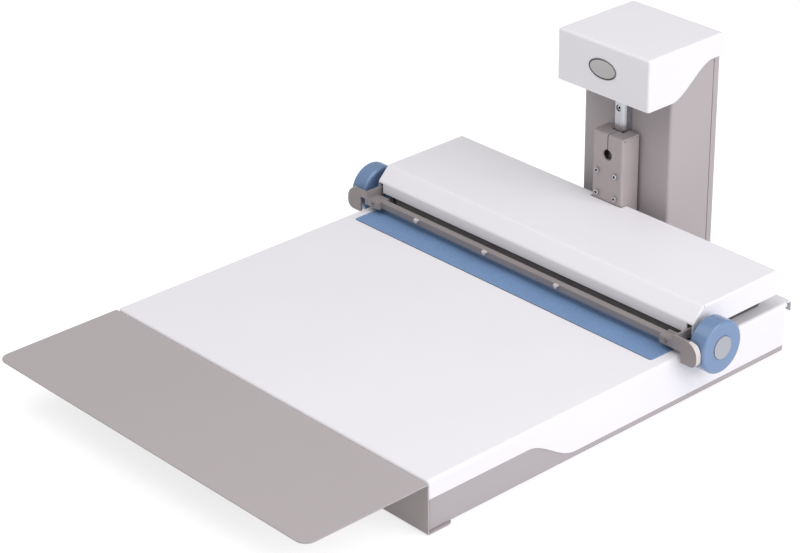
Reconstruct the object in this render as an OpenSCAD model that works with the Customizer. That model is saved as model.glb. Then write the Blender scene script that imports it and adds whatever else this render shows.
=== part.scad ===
// Bench-top sheet feeding press: a low sheet-steel table with a front
// extension leaf, and a nip-roller head that a carriage carries up and
// down a linear rail on the column behind it.
// Lengths are millimetres. Within the part Y is counted from the table's
// front edge, X from its middle and Z from the bench.

/* [Table] */
// Width across the two white side skirts
table_w = 450; // [400:5:500]
// Depth of the chassis, front wall to rear wall
table_d = 488; // [470:2:560]
// Height of the work surface above the bench
table_h = 57; // [54:1:72]
// Thickness of the white table sheet
table_t = 1.5; // [1:0.25:2]
// Outer radius of the table's long side bends
table_bend_r = 3; // [2.25:0.25:4]
// Depth of the side skirt at the front
skirt_front_drop = 20; // [12:1:26]
// Depth of the side skirt at the rear
skirt_rear_drop = 46.5; // [38:0.5:48]
// Distance from the front edge to where the skirt starts to deepen
skirt_step_y = 125; // [80:5:180]
// Length of the curved step between the shallow and the deep skirt
skirt_step_l = 62; // [30:2:90]
// How far the table's rear lip reaches past the chassis
lip_out = 8; // [6:0.5:12]
// Height of the rear lip
lip_h = 13; // [8:1:20]

/* [Chassis] */
// Sheet thickness of the chassis tray
chassis_t = 1.5; // [1:0.25:2.5]
// Radius of the tray's upright corners
chassis_corner_r = 3; // [2.75:0.25:6]
// Height of the rubber feet
foot_h = 3; // [2.5:0.5:5]
// Diameter of the rubber feet
foot_d = 18; // [12:1:26]
// Distance from the tray's outside to a foot's centre
foot_inset = 46; // [44:2:70]
// Number of cross ribs under the table
rib_count = 3; // [2:1:5]
// Sheet thickness of a rib
rib_t = 2; // [1.5:0.5:3]
// Width of a rib's top and bottom flanges
rib_flange = 14; // [10:1:20]

/* [Extension leaf] */
// Reach of the leaf in front of the table
leaf_l = 144; // [100:4:200]
// How far the leaf is wider than the table on each side
leaf_overhang = 1.5; // [0:0.5:4]
// Sheet thickness of the leaf
leaf_t = 1.5; // [1.5:0.25:2.25]
// Step down from the work surface to the leaf
leaf_step = 2; // [1.5:0.25:4]
// Radius of the leaf's two front corners
leaf_corner_r = 12; // [4:1:30]
// Depth of the flange that runs back under the chassis
leaf_foot_l = 30; // [20:1:32]

/* [Work pad] */
// Distance from the table's side to the pad's end
pad_inset = 13; // [11:1:40]
// How far the pad reaches in front of the gauge bar
pad_front = 28; // [17:1:45]
// How far the pad reaches behind the hood's front lip
pad_rear = 2.5; // [0:0.5:3]
// Thickness of the pad
pad_t = 0.8; // [0.5:0.1:1.5]

/* [Column] */
// Width of the column
col_w = 120; // [100:2:150]
// Depth of the column
col_d = 72; // [60:1:90]
// Sheet thickness of the column shell
col_t = 2; // [1.5:0.25:3]
// Radius of the column's upright edges
col_edge_r = 3; // [2.75:0.25:5]
// Gap between the chassis and the column, filled by the joining plate
col_gap = 3; // [2:0.5:6]
// Depth of the rear cover's side flanges
rear_flange = 10; // [6:1:16]
// Thickness of the column's base plate
base_plate_t = 6; // [4:1:10]
// Thickness of the spine plate behind the rail
spine_t = 8; // [5:1:12]
// Width of the spine plate
spine_w = 70; // [50:2:84]

/* [Column head cover] */
// Height of the cover's top above the bench
machine_h = 276.5; // [265:0.5:320]
// Sheet thickness of the cover
cover_t = 1.5; // [1:0.25:2]
// Radius of the cover's bends
cover_bend_r = 3; // [2.25:0.25:5]
// How far the cover reaches in front of the column
cover_out = 38.5; // [34:0.5:50]
// Height of the cover's front wall
cover_front_h = 56; // [40:1:60]
// Height of the cover's rear wall
cover_rear_h = 24; // [16:1:30]
// Width of the blank oval plate
plate_w = 38; // [24:1:60]
// Height of the blank oval plate
plate_h = 22; // [14:1:30]
// Thickness of the blank oval plate
plate_t = 0.8; // [0.5:0.1:1.5]

/* [Rail and carriage] */
// Width of the rail
rail_w = 15; // [12:1:18]
// Height of the rail off the column
rail_h = 13; // [12:0.5:14]
// Distance from the rail's top to the head cover's top
rail_headroom = 68.5; // [60:0.5:70]
// Pitch of the rail's mounting screws
rail_pitch = 40; // [30:5:60]
// Distance from the rail's ends to their nearest screws, at least
rail_end = 9; // [7:0.5:20]
// Width of the carriage
carriage_w = 34; // [33:0.5:35]
// Length of the carriage
carriage_l = 54; // [48:1:56]
// Height of the carriage face off the column
stack_h = 25.8; // [22:0.2:28]
// Running gap between carriage and rail
rail_gap = 0.3; // [0.3:0.05:0.5]
// Height of the upper stop buffer, which ends the head's lift
upper_buffer_h = 14.7; // [10:0.1:30]

/* [Slide bracket] */
// Width of the folded bracket
bracket_w = 42; // [40:1:56]
// Height of the bracket
bracket_h = 110; // [104:1:112]
// Sheet thickness of the bracket
bracket_t = 2; // [1.5:0.25:2.5]
// Gap between the bracket's sides and the column
bracket_gap = 3.5; // [2:0.5:5]
// Outer radius of the bracket's bends
bracket_bend_r = 3; // [2.75:0.25:4]
// Width of the seam between the top flange and each side
seam_gap = 0.4; // [0.2:0.1:1]
// Radius of the relief holes at the seams' front ends
relief_r = 0.9; // [0.6:0.1:1.5]
// Radius of the keyhole's round end
keyhole_r = 6; // [4:0.5:8]
// Distance from the bracket's top to the middle of the keyhole's round end
keyhole_drop = 23; // [20:1:25]
// Width of the keyhole's slot
keyhole_slot_w = 1.2; // [0.8:0.1:2]
// Pitch of the four carriage screws
screw_pitch = 25; // [20:1:25]

/* [Hood] */
// Distance from the table's side to the hood's side
hood_inset = 1; // [0.5:0.5:4]
// Depth of the hood
hood_d = 124; // [116:1:130]
// Sheet thickness of the hood
hood_t = 1.5; // [1:0.25:2]
// Gap under the hood's side edges
hood_gap = 15; // [13:0.5:18]
// Height of the hood's side walls
hood_h = 26.5; // [25:0.5:34]
// Height of the hood's front lip
hood_lip_h = 12; // [11:0.5:13]
// Depth of the hood's sloping face
hood_slope_d = 16; // [12:1:20]
// Depth of the notch round the bracket
notch_d = 8.4; // [6:0.2:10]
// Gap round the bracket in the notch
notch_gap = 1; // [0.5:0.25:2]
// Height of the hood's rear flange
hood_rear_h = 16; // [10:1:20]

/* [Head frame] */
// Thickness of the side frames
frame_t = 5; // [4:0.5:6]
// Distance from the hood's side to the side frame's outer face
frame_inset = 14; // [13:0.5:18]
// Height of the cross beam
beam_h = 28; // [22:1:30]
// Depth of the cross beam
beam_d = 22; // [18:1:26]
// Wall of the cross beam
beam_t = 3; // [2:0.5:4]
// Gap between the side frames and the work surface
frame_gap = 0.5; // [0.4:0.1:1]

/* [Nip roller and knobs] */
// Radius of the cross shaft
shaft_r = 4; // [3:0.25:4]
// Height of the shaft's axis over the work surface
shaft_up = 8; // [7.5:0.25:8.5]
// Distance from the hood's front lip back to the shaft's axis
shaft_back = 12.7; // [11:0.1:15]
// Radial play of the shaft in its bushes
shaft_play = 0.05; // [0.02:0.01:0.1]
// Wall of the shaft bushes
bush_wall = 1.5; // [1:0.25:1.5]
// Gap between the roller and the work surface
roller_gap = 0.5; // [0.4:0.1:1]
// Radius of the knobs
knob_r = 27.5; // [20:0.5:28]
// Thickness of the knobs
knob_t = 19.5; // [12:0.5:24]
// Gap between the skirts and the knobs
knob_gap = 6.5; // [4:0.5:10]
// Radius of the knobs' rounded rims
knob_edge_r = 2.5; // [1:0.5:4]
// Radius of the grey centre caps
cap_r = 12.2; // [8:0.2:14]
// Radius of the knob's hub
hub_r = 8; // [6:0.5:8]

/* [Gauge bar] */
// Depth of the gauge bar
bar_d = 7.5; // [6:0.5:9]
// Height of the gauge bar
bar_h = 8; // [7:0.5:9]
// Gap between the gauge bar and the work surface
bar_gap = 7; // [6.5:0.25:8]
// Distance from the bar's front face to the hood's front lip
bar_front = 16.5; // [14:0.5:20]
// Thickness of the lever arms
arm_t = 2.5; // [2:0.25:3]
// Gap between the resting arms and the cross shaft
arm_gap = 0.3; // [0.3:0.1:1]
// Height of the arms' top edge over the work surface
arm_top = 21.6; // [21:0.2:23]
// Thickness of the finger plates
finger_t = 2.5; // [2:0.25:3]
// Height of the finger plates
finger_h = 26; // [24:0.5:28]
// Radius of the finger plates' top outer corner
finger_r = 14.5; // [12:0.5:15]
// Distance from the hood's front lip back to the levers' pivots
pivot_back = 24.5; // [22:0.5:28]
// Radius of the pivot pins' shoulders
pivot_r = 4; // [3:0.25:4]
// Radial play of the levers on their pins
pivot_play = 0.05; // [0.02:0.01:0.1]
// How far the gauge bar lifts
bar_lift = 8; // [4:0.5:8]
// Distance between the small register fingers
register_pitch = 102; // [80:2:130]
// Place of the middle register finger
register_mid_x = -43; // [-50:1:40]

/* [Hidden] */
$fn = 48;

// Fillets with a few flat steps for the sheet bends
bend_steps = 6;
// Smallest step used to cut clean through a wall
cut = 1;

// Table and chassis
half_w = table_w/2;
tray_half_w = half_w - table_t;
tray_front_y = table_t;
table_under = table_h - table_t;
tray_wall_top = table_under - table_bend_r;
skirt_rear_inset = 2.5;
skirt_rear_y = table_d - skirt_rear_inset;
skirt_chamfer = 3;
lip_end_gap = 1;
pad_half_w = half_w - pad_inset;
pad_corner_r = 3;
lip_y = table_d + lip_out;
rib_inset = 78;
rib_gap = 4;
column_foot_inset = 4;

// Extension leaf
leaf_half_w = half_w + leaf_overhang;
leaf_top = table_h - leaf_step;
leaf_foot_z = foot_h - leaf_t;
leaf_screw_r = 2;
leaf_screw_inset = 45;
leaf_screw_x = half_w - leaf_screw_inset;
leaf_nut_h = 3;
leaf_nut_r = 3.6;
leaf_bend_r = leaf_t;

// Column
col_y = table_d + col_gap;
col_rear = col_y + col_d;
seam_y = col_rear - rear_flange;
col_top = machine_h - cover_bend_r;
col_top_plate_t = 3;
spine_y = col_y + col_t;
joining_inset = 8;
joining_edge = 3;
joining_w = col_w - 2*joining_inset;
joining_z0 = foot_h + joining_edge;
joining_z1 = table_under - joining_edge;
joining_bolt_r = 3;
joining_bolt_inset_x = 12;
joining_bolt_inset_z = 10;
joining_bolt_x = joining_w/2 - joining_bolt_inset_x;
joining_bolt_z = [joining_z0 + joining_bolt_inset_z, joining_z1 - joining_bolt_inset_z];
joining_head_h = 4;
joining_nut_h = 5;
lip_side_gap = 4;
notch_half_w = col_w/2 + lip_side_gap;
body_rear = col_rear + cover_t;
cover_screw_r = 2.25;
rear_screw_inset = 9;
rear_screw_low = 40;
rear_screw_high = 30;
cover_screw_head_r = 3.8;
cover_screw_head_h = 1.4;

// The part's own origin is under the middle of its footprint
mid_y = (body_rear + cover_screw_head_h - leaf_l)/2;

// Head cover
cover_side_gap = 1.75;
cover_half_w = col_w/2 + cover_side_gap + cover_t;
cover_y0 = col_y - cover_out;
cover_front_z = machine_h - cover_front_h;
cover_rear_z = machine_h - cover_rear_h;
cover_curve_front = 1;
cover_curve_rear = 8;
cover_curve_y0 = col_y - cover_curve_front;
cover_curve_y1 = seam_y - cover_curve_rear;
cover_screw_inset = 20;
plate_up = 29;
plate_z = cover_front_z + plate_up;

// Rail, carriage and bracket
carriage_y = col_y - stack_h;
bracket_y = carriage_y - bracket_t;
bracket_rear = col_y - bracket_gap;
bracket_up = 7;
bracket_z0 = table_h + bracket_up;
bracket_top = bracket_z0 + bracket_h;
keyhole_z = bracket_top - keyhole_drop;
carriage_up = 27.5;
carriage_z0 = bracket_z0 + carriage_up;
carriage_mid = carriage_z0 + carriage_l/2;
carriage_foot_gap = 4;
rail_slot_gap = 0.8;
rail_up = 6;
rail_z0 = bracket_z0 + rail_up;
rail_top = machine_h - rail_headroom;
rail_l = rail_top - rail_z0;
rail_y = col_y - rail_h;
rail_screw_r = 1.75;
rail_bore_r = 3.5;
rail_bore_depth = 5;
rail_head_r = 3;
rail_head_h = 3.8;
screw_r = 1.5;
screw_head_r = 2.75;
screw_head_h = 3;
screw_depth = 5;

// Hood and head frame
hood_half_w = half_w - hood_inset;
hood_y1 = bracket_y + notch_d;
hood_y0 = hood_y1 - hood_d;
hood_z0 = table_h + hood_gap;
hood_top = hood_z0 + hood_h;
hood_lip_z = hood_z0 + hood_lip_h;
hood_under = hood_top - hood_t;
frame_half = hood_half_w - frame_inset;
frame_front_gap = 2.5;
frame_y0 = hood_y0 + hood_t + frame_front_gap;
frame_z0 = table_h + frame_gap;
frame_slope_gap = 1.5;
beam_up = 9;
beam_z0 = table_h + beam_up;
beam_y0 = bracket_y - beam_d;
buffer_r = 6;
buffer_inset = 60;
buffer_x = frame_half - buffer_inset;
stop_gap = 0.3;
stop_plate_t = 3;
stop_half_w = 14;
stop_screw_x = 8;
stop_screw_up = 8;
stop_plate_up = 16;
stop_headroom = 32.5;
stop_arm_z = machine_h - stop_headroom;
buffer_y = bracket_y + bracket_bend_r + 4;

// How far the head rises before the bracket meets the upper buffer
lift = stop_arm_z - upper_buffer_h - stop_gap - bracket_top;
bolt_r = 2.5;
bolt_head_r = 4;
bolt_head_h = 4;
beam_bolt_z = beam_z0 + beam_h/2;
beam_bolt_inset = 9;
beam_bolt_x = bracket_w/2 - beam_bolt_inset;
beam_nut_h = 4;
frame_bolt_edge = 1.5;
frame_bolt_dy = beam_d/2 - beam_t - frame_bolt_edge;
frame_flange_w = 10;
frame_flange_t = 3;
flange_front_gap = 14;
flange_rear_gap = 8;
flange_y0 = hood_y0 + hood_slope_d + flange_front_gap;
flange_y1 = beam_y0 - flange_rear_gap;
hood_stud_r = 2;
hood_screw_inset = 8;
hood_stud_l = 6;
hood_nut_h = 3;
hood_nut_r = 3.8;

// Roller and knobs
shaft_y = hood_y0 + shaft_back;
shaft_z = table_h + shaft_up;
bush_in_r = shaft_r + shaft_play;
bush_r = bush_in_r + bush_wall;
bush_flange_t = 1.5;
bush_flange_r = bush_r + 1;
roller_r = shaft_up - roller_gap;
roller_end_gap = 1.5;
roller_half = frame_half - frame_t - bush_flange_t - roller_end_gap;
knob_in_x = half_w + knob_gap;
knob_out_x = knob_in_x + knob_t;
hub_l = knob_gap - 1;
hub_in_x = knob_in_x - hub_l;
cap_t = 2;
cap_proud = 1;
set_screw_r = 1.5;
shaft_end_gap = 2;
shaft_end_x = knob_out_x - cap_t - shaft_end_gap;

// Gauge bar and levers
bar_y0 = hood_y0 - bar_front;
bar_z0 = table_h + bar_gap;
bar_z1 = bar_z0 + bar_h;
tab_t = 4.5;
tab_inset = 0.5;
tab_w = 18.5;
tab_y0 = bar_y0 - tab_t;
lever_y0 = tab_y0 - tab_inset;
arm_side_gap = 1.5;
arm_x1 = hood_half_w - hood_t - arm_side_gap;
arm_x0 = arm_x1 - arm_t;
arm_z1 = table_h + arm_top;
arm_z0 = shaft_z + shaft_r + arm_gap;
finger_side_gap = 3.5;
finger_inset = 2.5;
finger_x0 = half_w + finger_side_gap;
finger_x1 = knob_out_x - finger_inset;
finger_z0 = arm_z1 - finger_h;
finger_low_r = 8;
rim_knob_gap = 0.5;
rim_y1 = shaft_y - knob_r - rim_knob_gap;
rim_l = 4;
neck_notch_h = 6.5;
pivot_y = hood_y0 + pivot_back;
pivot_drop = 2;
pivot_z = arm_z1 - pivot_drop;
eye_wall = 2.5;
eye_r = pivot_r + eye_wall;
pin_root_r = 3;
pin_side_gap = 0.3;
pin_hood_gap = 0.3;
pin_shoulder = 1.5;
pin_head_x = arm_x1 + pin_side_gap;
slot_side_gap = 2.5;
slot_top_gap = 0.5;
slot_inner = arm_x0 - slot_side_gap;

// The lifted arm's top edge where it passes the hood's front wall
slot_top = pivot_z + pivot_drop/cos(bar_lift) + pivot_back*tan(bar_lift) + slot_top_gap;
lug_t = 3;
bar_screw_r = 1.75;
bar_screw_head_r = 3;
bar_screw_head_h = 2.6;
bar_screw_x = arm_x0 - tab_w/2;
bar_screw_z = bar_z0 + bar_h/2;
register_w = 6;
register_reach = 4.5;
register_t = 2;

white = [0.94, 0.94, 0.95];
grey = [0.72, 0.70, 0.70];
dark_grey = [0.55, 0.53, 0.52];
steel = [0.75, 0.76, 0.78];
blue = [0.38, 0.52, 0.72];
black = [0.12, 0.12, 0.13];

// ---- Shared helpers ----

// Moves a piece from bench coordinates to the part's own origin
module placed() { translate([0, -mid_y, 0]) children(); }

// Extrudes an outline drawn in Y and Z along X
module along_x(x0, x1) {
    translate([x0, 0, 0]) rotate([90, 0, 90]) linear_extrude(x1 - x0) children();
}

// Extrudes an outline drawn in X and Z along Y
module along_y(y0, y1) {
    translate([0, y1, 0]) rotate([90, 0, 0]) linear_extrude(y1 - y0) children();
}

// Extrudes an outline drawn in X and Y along Z
module along_z(z0, z1) {
    translate([0, 0, z0]) linear_extrude(z1 - z0) children();
}

// A box from its low corner to its high corner
module block(lo, hi) { translate(lo) cube(hi - lo); }

// Cylinders along X and Y between two planes
module rod_x(x0, x1, y, z, r) { translate([x0, y, z]) rotate([0, 90, 0]) cylinder(h = x1 - x0, r = r); }
module rod_y(x, y0, y1, z, r) { translate([x, y1, z]) rotate([90, 0, 0]) cylinder(h = y1 - y0, r = r); }

// Puts its children at both sides of the part's middle plane
module both_sides() {
    children();
    mirror([1, 0, 0]) children();
}

function unit(v) = v/norm(v);

// Points of the arc that rounds the corner at b between a and c
function corner(a, b, c, r) =
    let (u = unit(a - b), v = unit(c - b),
         half = acos(max(-1, min(1, u*v)))/2,
         back = r/tan(half),
         centre = b + unit(u + v)*r/sin(half),
         from = b + u*back - centre,
         turn = (u[0]*v[1] - u[1]*v[0] > 0 ? -1 : 1)*(180 - 2*half))
    [for (i = [0:bend_steps])
        let (t = turn*i/bend_steps)
        centre + [from[0]*cos(t) - from[1]*sin(t), from[0]*sin(t) + from[1]*cos(t)]];

// An outline whose corners are rounded, each by its own radius
function rounded(points, radii) =
    let (n = len(points))
    [for (i = [0:n - 1])
        let (r = radii[i])
        each r > 0
            ? corner(points[(i + n - 1)%n], points[i], points[(i + 1)%n], r)
            : [points[i]]];

function rect(x0, y0, x1, y1) = [[x0, y0], [x1, y0], [x1, y1], [x0, y1]];

// A rectangle with the same radius at each corner
module soft_rect(x0, y0, x1, y1, r) { polygon(rounded(rect(x0, y0, x1, y1), [r, r, r, r])); }

// Cap screw along +Y: head in front at y0, shank behind it
module cap_screw_y(x, y0, z, head_r, head_h, shank_r, shank_l) {
    difference() {
        rod_y(x, y0, y0 + head_h, z, head_r);
        translate([x, y0 + head_h*0.55, z]) rotate([90, 0, 0]) cylinder(h = head_h, r = shank_r*0.9, $fn = 6);
    }
    rod_y(x, y0 + head_h*0.7, y0 + head_h + shank_l, z, shank_r);
}

// ---- Base ----

module tray_outline(inset) {
    soft_rect(-tray_half_w + inset, tray_front_y + inset, tray_half_w - inset, table_d - inset,
              chassis_corner_r - inset);
}

module foot_places() {
    for (x = [-1, 1], y = [foot_inset, table_d - foot_inset])
        translate([x*(tray_half_w - foot_inset), y, 0]) children();
}

module joining_bolt_places() {
    for (x = [-joining_bolt_x, joining_bolt_x], z = joining_bolt_z)
        translate([x, 0, z]) children();
}

module leaf_screw_places() {
    for (x = [-leaf_screw_x, 0, leaf_screw_x])
        translate([x, leaf_foot_l/2, 0]) children();
}

module chassis_tray() {
    color(grey) placed() difference() {
        along_z(foot_h, tray_wall_top) tray_outline(0);
        along_z(foot_h + chassis_t, tray_wall_top + cut) tray_outline(chassis_t);
        joining_bolt_places() rod_y(0, table_d - chassis_t - cut, table_d + cut, 0, joining_bolt_r);
        leaf_screw_places() cylinder(h = foot_h + chassis_t + cut, r = leaf_screw_r);
    }
}

module table_ribs() {
    pitch = (table_d - 2*rib_inset)/(rib_count - 1);
    half = tray_half_w - chassis_t - rib_gap;
    color(grey) placed() for (i = [0:rib_count - 1]) {
        y = rib_inset + i*pitch;
        along_x(-half, half) polygon([
            [y, foot_h + chassis_t], [y + rib_flange, foot_h + chassis_t],
            [y + rib_flange, foot_h + chassis_t + rib_t], [y + rib_t, foot_h + chassis_t + rib_t],
            [y + rib_t, table_under - rib_t], [y + rib_flange, table_under - rib_t],
            [y + rib_flange, table_under], [y, table_under]]);
    }
}

module foot() {
    cylinder(h = foot_h*0.7, r1 = foot_d/2 - 1, r2 = foot_d/2);
    translate([0, 0, foot_h*0.7]) cylinder(h = foot_h*0.3, r = foot_d/2);
}

module feet() {
    color(black) placed() foot_places() foot();
}

module column_feet() {
    color(black) placed() for (x = [-1, 1])
        translate([x*(col_w/2 - foot_d), col_rear - foot_d - column_foot_inset, 0]) foot();
}

// Lower edge of the side skirt, as an outline in Y and Z to cut away
function skirt_cut() =
    let (z_hi = table_h - skirt_front_drop, z_lo = table_h - skirt_rear_drop,
         steps = 14)
    concat(
        [[-cut, -cut], [-cut, z_hi]],
        [for (i = [0:steps])
            let (t = i/steps, ease = t*t*(3 - 2*t))
            [skirt_step_y + skirt_step_l*t, z_hi + (z_lo - z_hi)*ease]],
        [[skirt_rear_y - skirt_chamfer, z_lo], [skirt_rear_y, z_lo + skirt_chamfer],
         [skirt_rear_y, tray_wall_top], [table_d + lip_out + cut, tray_wall_top],
         [table_d + lip_out + cut, -cut]]);

// The sheet's outer or inner faces as a solid, folded down at its front and sides
module table_solid(inset, y1, z0) {
    r = table_bend_r - inset;
    intersection() {
        along_y(inset, y1)
            polygon(rounded(rect(-half_w + inset, z0, half_w - inset, table_h - inset), [0, 0, r, r]));
        along_x(-half_w, half_w)
            polygon(rounded(rect(inset, z0, y1 + cut, table_h - inset), [0, 0, 0, r]));
        along_z(z0, table_h)
            polygon(rounded(rect(-half_w + inset, inset, half_w - inset, y1 + cut), [r, r, 0, 0]));
    }
}

module table_top() {
    inner_r = table_bend_r - table_t;
    skirt_z = table_h - skirt_rear_drop;
    color(white) placed() {
        difference() {
            table_solid(0, table_d, skirt_z);
            table_solid(table_t, table_d + cut, skirt_z - cut);
            along_x(-half_w - cut, half_w + cut) polygon(skirt_cut());
        }
        both_sides() along_x(notch_half_w, half_w - lip_end_gap) polygon(rounded(
            [[table_d - cut, table_under], [lip_y - table_t, table_under],
             [lip_y - table_t, table_h - lip_h], [lip_y, table_h - lip_h],
             [lip_y, table_h], [table_d - cut, table_h]],
            [0, inner_r, 0, 0, table_bend_r, 0]));
    }
}

module work_pad() {
    color(blue) placed() along_z(table_h, table_h + pad_t)
        soft_rect(-pad_half_w, bar_y0 - pad_front, pad_half_w, hood_y0 + pad_rear, pad_corner_r);
}

module leaf_section() {
    inner_r = leaf_bend_r - leaf_t;
    polygon(rounded(
        [[-leaf_l, leaf_top - leaf_t], [-leaf_t, leaf_top - leaf_t], [-leaf_t, leaf_foot_z],
         [leaf_foot_l, leaf_foot_z], [leaf_foot_l, leaf_foot_z + leaf_t], [0, leaf_foot_z + leaf_t],
         [0, leaf_top], [-leaf_l, leaf_top]],
        [0, inner_r, leaf_bend_r, 0, 0, 0, leaf_bend_r, 0]));
}

module extension_leaf() {
    color(grey) placed() difference() {
        intersection() {
            along_x(-leaf_half_w, leaf_half_w) leaf_section();
            along_z(-cut, table_h) polygon(rounded(
                rect(-leaf_half_w, -leaf_l, leaf_half_w, leaf_foot_l),
                [leaf_corner_r, leaf_corner_r, 6, 6]));
        }
        leaf_screw_places() translate([0, 0, leaf_foot_z - cut])
            cylinder(h = leaf_t + 2*cut, r = leaf_screw_r);
    }
}

module leaf_screws() {
    color(steel) placed() leaf_screw_places() {
        translate([0, 0, leaf_foot_z]) cylinder(h = leaf_t + chassis_t, r = leaf_screw_r);
        translate([0, 0, foot_h + chassis_t]) cylinder(h = leaf_nut_h, r = leaf_nut_r, $fn = 6);
    }
}

module joining_plate() {
    color(dark_grey) placed() difference() {
        block([-joining_w/2, table_d, joining_z0], [joining_w/2, col_y, joining_z1]);
        joining_bolt_places() rod_y(0, table_d - cut, col_y + cut, 0, joining_bolt_r);
    }
}

module joining_bolts() {
    in_y = table_d - chassis_t;
    out_y = col_y + col_t;
    color(steel) placed() joining_bolt_places() {
        rod_y(0, in_y, out_y, 0, joining_bolt_r);
        rod_y(0, in_y - joining_head_h, in_y, 0, joining_bolt_r*1.7);
        translate([0, out_y + joining_nut_h, 0]) rotate([90, 0, 0])
            cylinder(h = joining_nut_h, r = joining_bolt_r*1.8, $fn = 6);
    }
}

// ---- Column ----

module rail_screw_places() {
    count = floor((rail_l - 2*rail_end)/rail_pitch);
    for (i = [0:count])
        translate([0, 0, rail_z0 + (rail_l - count*rail_pitch)/2 + i*rail_pitch]) children();
}

module stop_screw_places() {
    for (x = [-stop_screw_x, stop_screw_x]) translate([x, 0, stop_arm_z + stop_screw_up]) children();
}

module column_outline(inset) {
    r = col_edge_r - inset;
    polygon(rounded(rect(-col_w/2 + inset, col_y + inset, col_w/2 - inset, col_rear), [r, r, 0, 0]));
}

module column_shell() {
    color(grey) placed() difference() {
        along_z(foot_h, col_top) column_outline(0);
        along_z(foot_h - cut, col_top + cut) column_outline(col_t);
        block([-col_w, seam_y, 0], [col_w, col_rear + cut, machine_h]);
        rail_screw_places() rod_y(0, col_y - cut, col_y + col_t + cut, 0, rail_screw_r);
        stop_screw_places() rod_y(0, col_y - cut, col_y + col_t + cut, 0, rail_screw_r);
        joining_bolt_places() rod_y(0, col_y - cut, col_y + col_t + cut, 0, joining_bolt_r);
    }
}

module rear_cover_screw_places() {
    x = col_w/2 - rear_screw_inset;
    low = foot_h + rear_screw_low;
    high = cover_rear_z - rear_screw_high;
    for (side = [-1, 1], z = [low, (low + high)/2, high]) translate([side*x, 0, z]) children();
}

module column_rear_cover() {
    r = col_edge_r;
    inner_r = r - col_t;
    color(grey) placed() difference() {
        along_z(foot_h, col_top) difference() {
            polygon(rounded(rect(-col_w/2, seam_y, col_w/2, col_rear), [0, 0, r, r]));
            polygon(rounded(rect(-col_w/2 + col_t, seam_y - cut, col_w/2 - col_t, col_rear - col_t),
                            [0, 0, inner_r, inner_r]));
        }
        rear_cover_screw_places() rod_y(0, col_rear - col_t - cut, col_rear + cut, 0, cover_screw_r);
    }
}

// Low-headed screw through a cover at y0, its face at y1
module cover_screw(y0, y1) {
    rod_y(0, y0, y1, 0, cover_screw_r);
    translate([0, y1 + cover_screw_head_h, 0]) rotate([90, 0, 0])
        cylinder(h = cover_screw_head_h, r1 = cover_screw_head_r - 1, r2 = cover_screw_head_r);
}

module rear_cover_screws() {
    color(steel) placed() rear_cover_screw_places() cover_screw(col_rear - col_t - 4, col_rear);
}

module column_base_plate() {
    color(dark_grey) placed() along_z(foot_h, foot_h + base_plate_t)
        soft_rect(-col_w/2 + col_t, spine_y, col_w/2 - col_t, col_rear - col_t, col_edge_r - col_t);
}

module column_spine() {
    wall = 4;
    flange_d = 34;
    z0 = foot_h + base_plate_t;
    z1 = col_top - col_top_plate_t;
    color(dark_grey) placed() difference() {
        union() {
            block([-spine_w/2, spine_y, joining_z1 + 8], [spine_w/2, spine_y + spine_t, z1]);
            both_sides() block([spine_w/2 - wall, spine_y + spine_t, z0],
                               [spine_w/2, spine_y + spine_t + flange_d, z1]);
            block([-spine_w/2, spine_y + spine_t + flange_d, z0],
                  [spine_w/2, spine_y + spine_t + flange_d + wall, z1]);
        }
        rail_screw_places() rod_y(0, spine_y - cut, spine_y + spine_t + cut, 0, rail_screw_r);
        stop_screw_places() rod_y(0, spine_y - cut, spine_y + spine_t + cut, 0, rail_screw_r);
    }
}

module column_top_plate() {
    color(dark_grey) placed() along_z(col_top - col_top_plate_t, col_top)
        soft_rect(-col_w/2 + col_t, spine_y, col_w/2 - col_t, col_rear - col_t, col_edge_r - col_t);
}

// Head cover ------------------------------------------------------------

module cover_solid(inset) {
    r = max(cover_bend_r - inset, 0.2);
    intersection() {
        along_y(cover_y0 + inset, body_rear - inset) polygon(rounded(
            rect(-cover_half_w + inset, cover_front_z - cut, cover_half_w - inset, machine_h - inset),
            [0, 0, r, r]));
        along_x(-cover_half_w, cover_half_w) polygon(rounded(
            rect(cover_y0 + inset, cover_front_z - cut, body_rear - inset, machine_h - inset),
            [0, 0, r, r]));
        along_z(cover_front_z - cut, machine_h) soft_rect(
            -cover_half_w + inset, cover_y0 + inset, cover_half_w - inset, body_rear - inset, r);
    }
}

// Outline in Y and Z of what the cover's curved lower edge leaves out
function cover_cut() =
    let (rise = cover_rear_z - cover_front_z, run = cover_curve_y1 - cover_curve_y0, steps = 14)
    concat(
        [[cover_y0 - cut, cover_front_z - 2*cut], [cover_y0 - cut, cover_front_z]],
        [for (i = [0:steps])
            let (t = i/steps, ease = t*t*(3 - 2*t)*0.75 + t*0.25)
            [cover_curve_y0 + run*t, cover_front_z + rise*ease]],
        [[body_rear + cut, cover_rear_z], [body_rear + cut, cover_front_z - 2*cut]]);

module cover_screw_places() {
    for (x = [-1, 1])
        translate([x*(col_w/2 - cover_screw_inset), 0, machine_h - cover_rear_h/2]) children();
}

module head_cover() {
    color(white) placed() difference() {
        cover_solid(0);
        cover_solid(cover_t);
        along_x(-cover_half_w - cut, cover_half_w + cut) polygon(cover_cut());
        block([-cover_half_w - cut, cover_y0 - cut, cover_front_z - 2*cut],
              [cover_half_w + cut, body_rear + cut, cover_front_z]);
        cover_screw_places() rod_y(0, col_rear - cut, body_rear + cut, 0, cover_screw_r);
    }
}

module head_cover_screws() {
    color(steel) placed() cover_screw_places() cover_screw(col_rear, body_rear);
}

module blank_oval_plate() {
    color(steel) placed() along_y(cover_y0 - plate_t, cover_y0) polygon(
        [for (i = [0:47]) [plate_w/2*cos(i*7.5), plate_z + plate_h/2*sin(i*7.5)]]);
}

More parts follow.
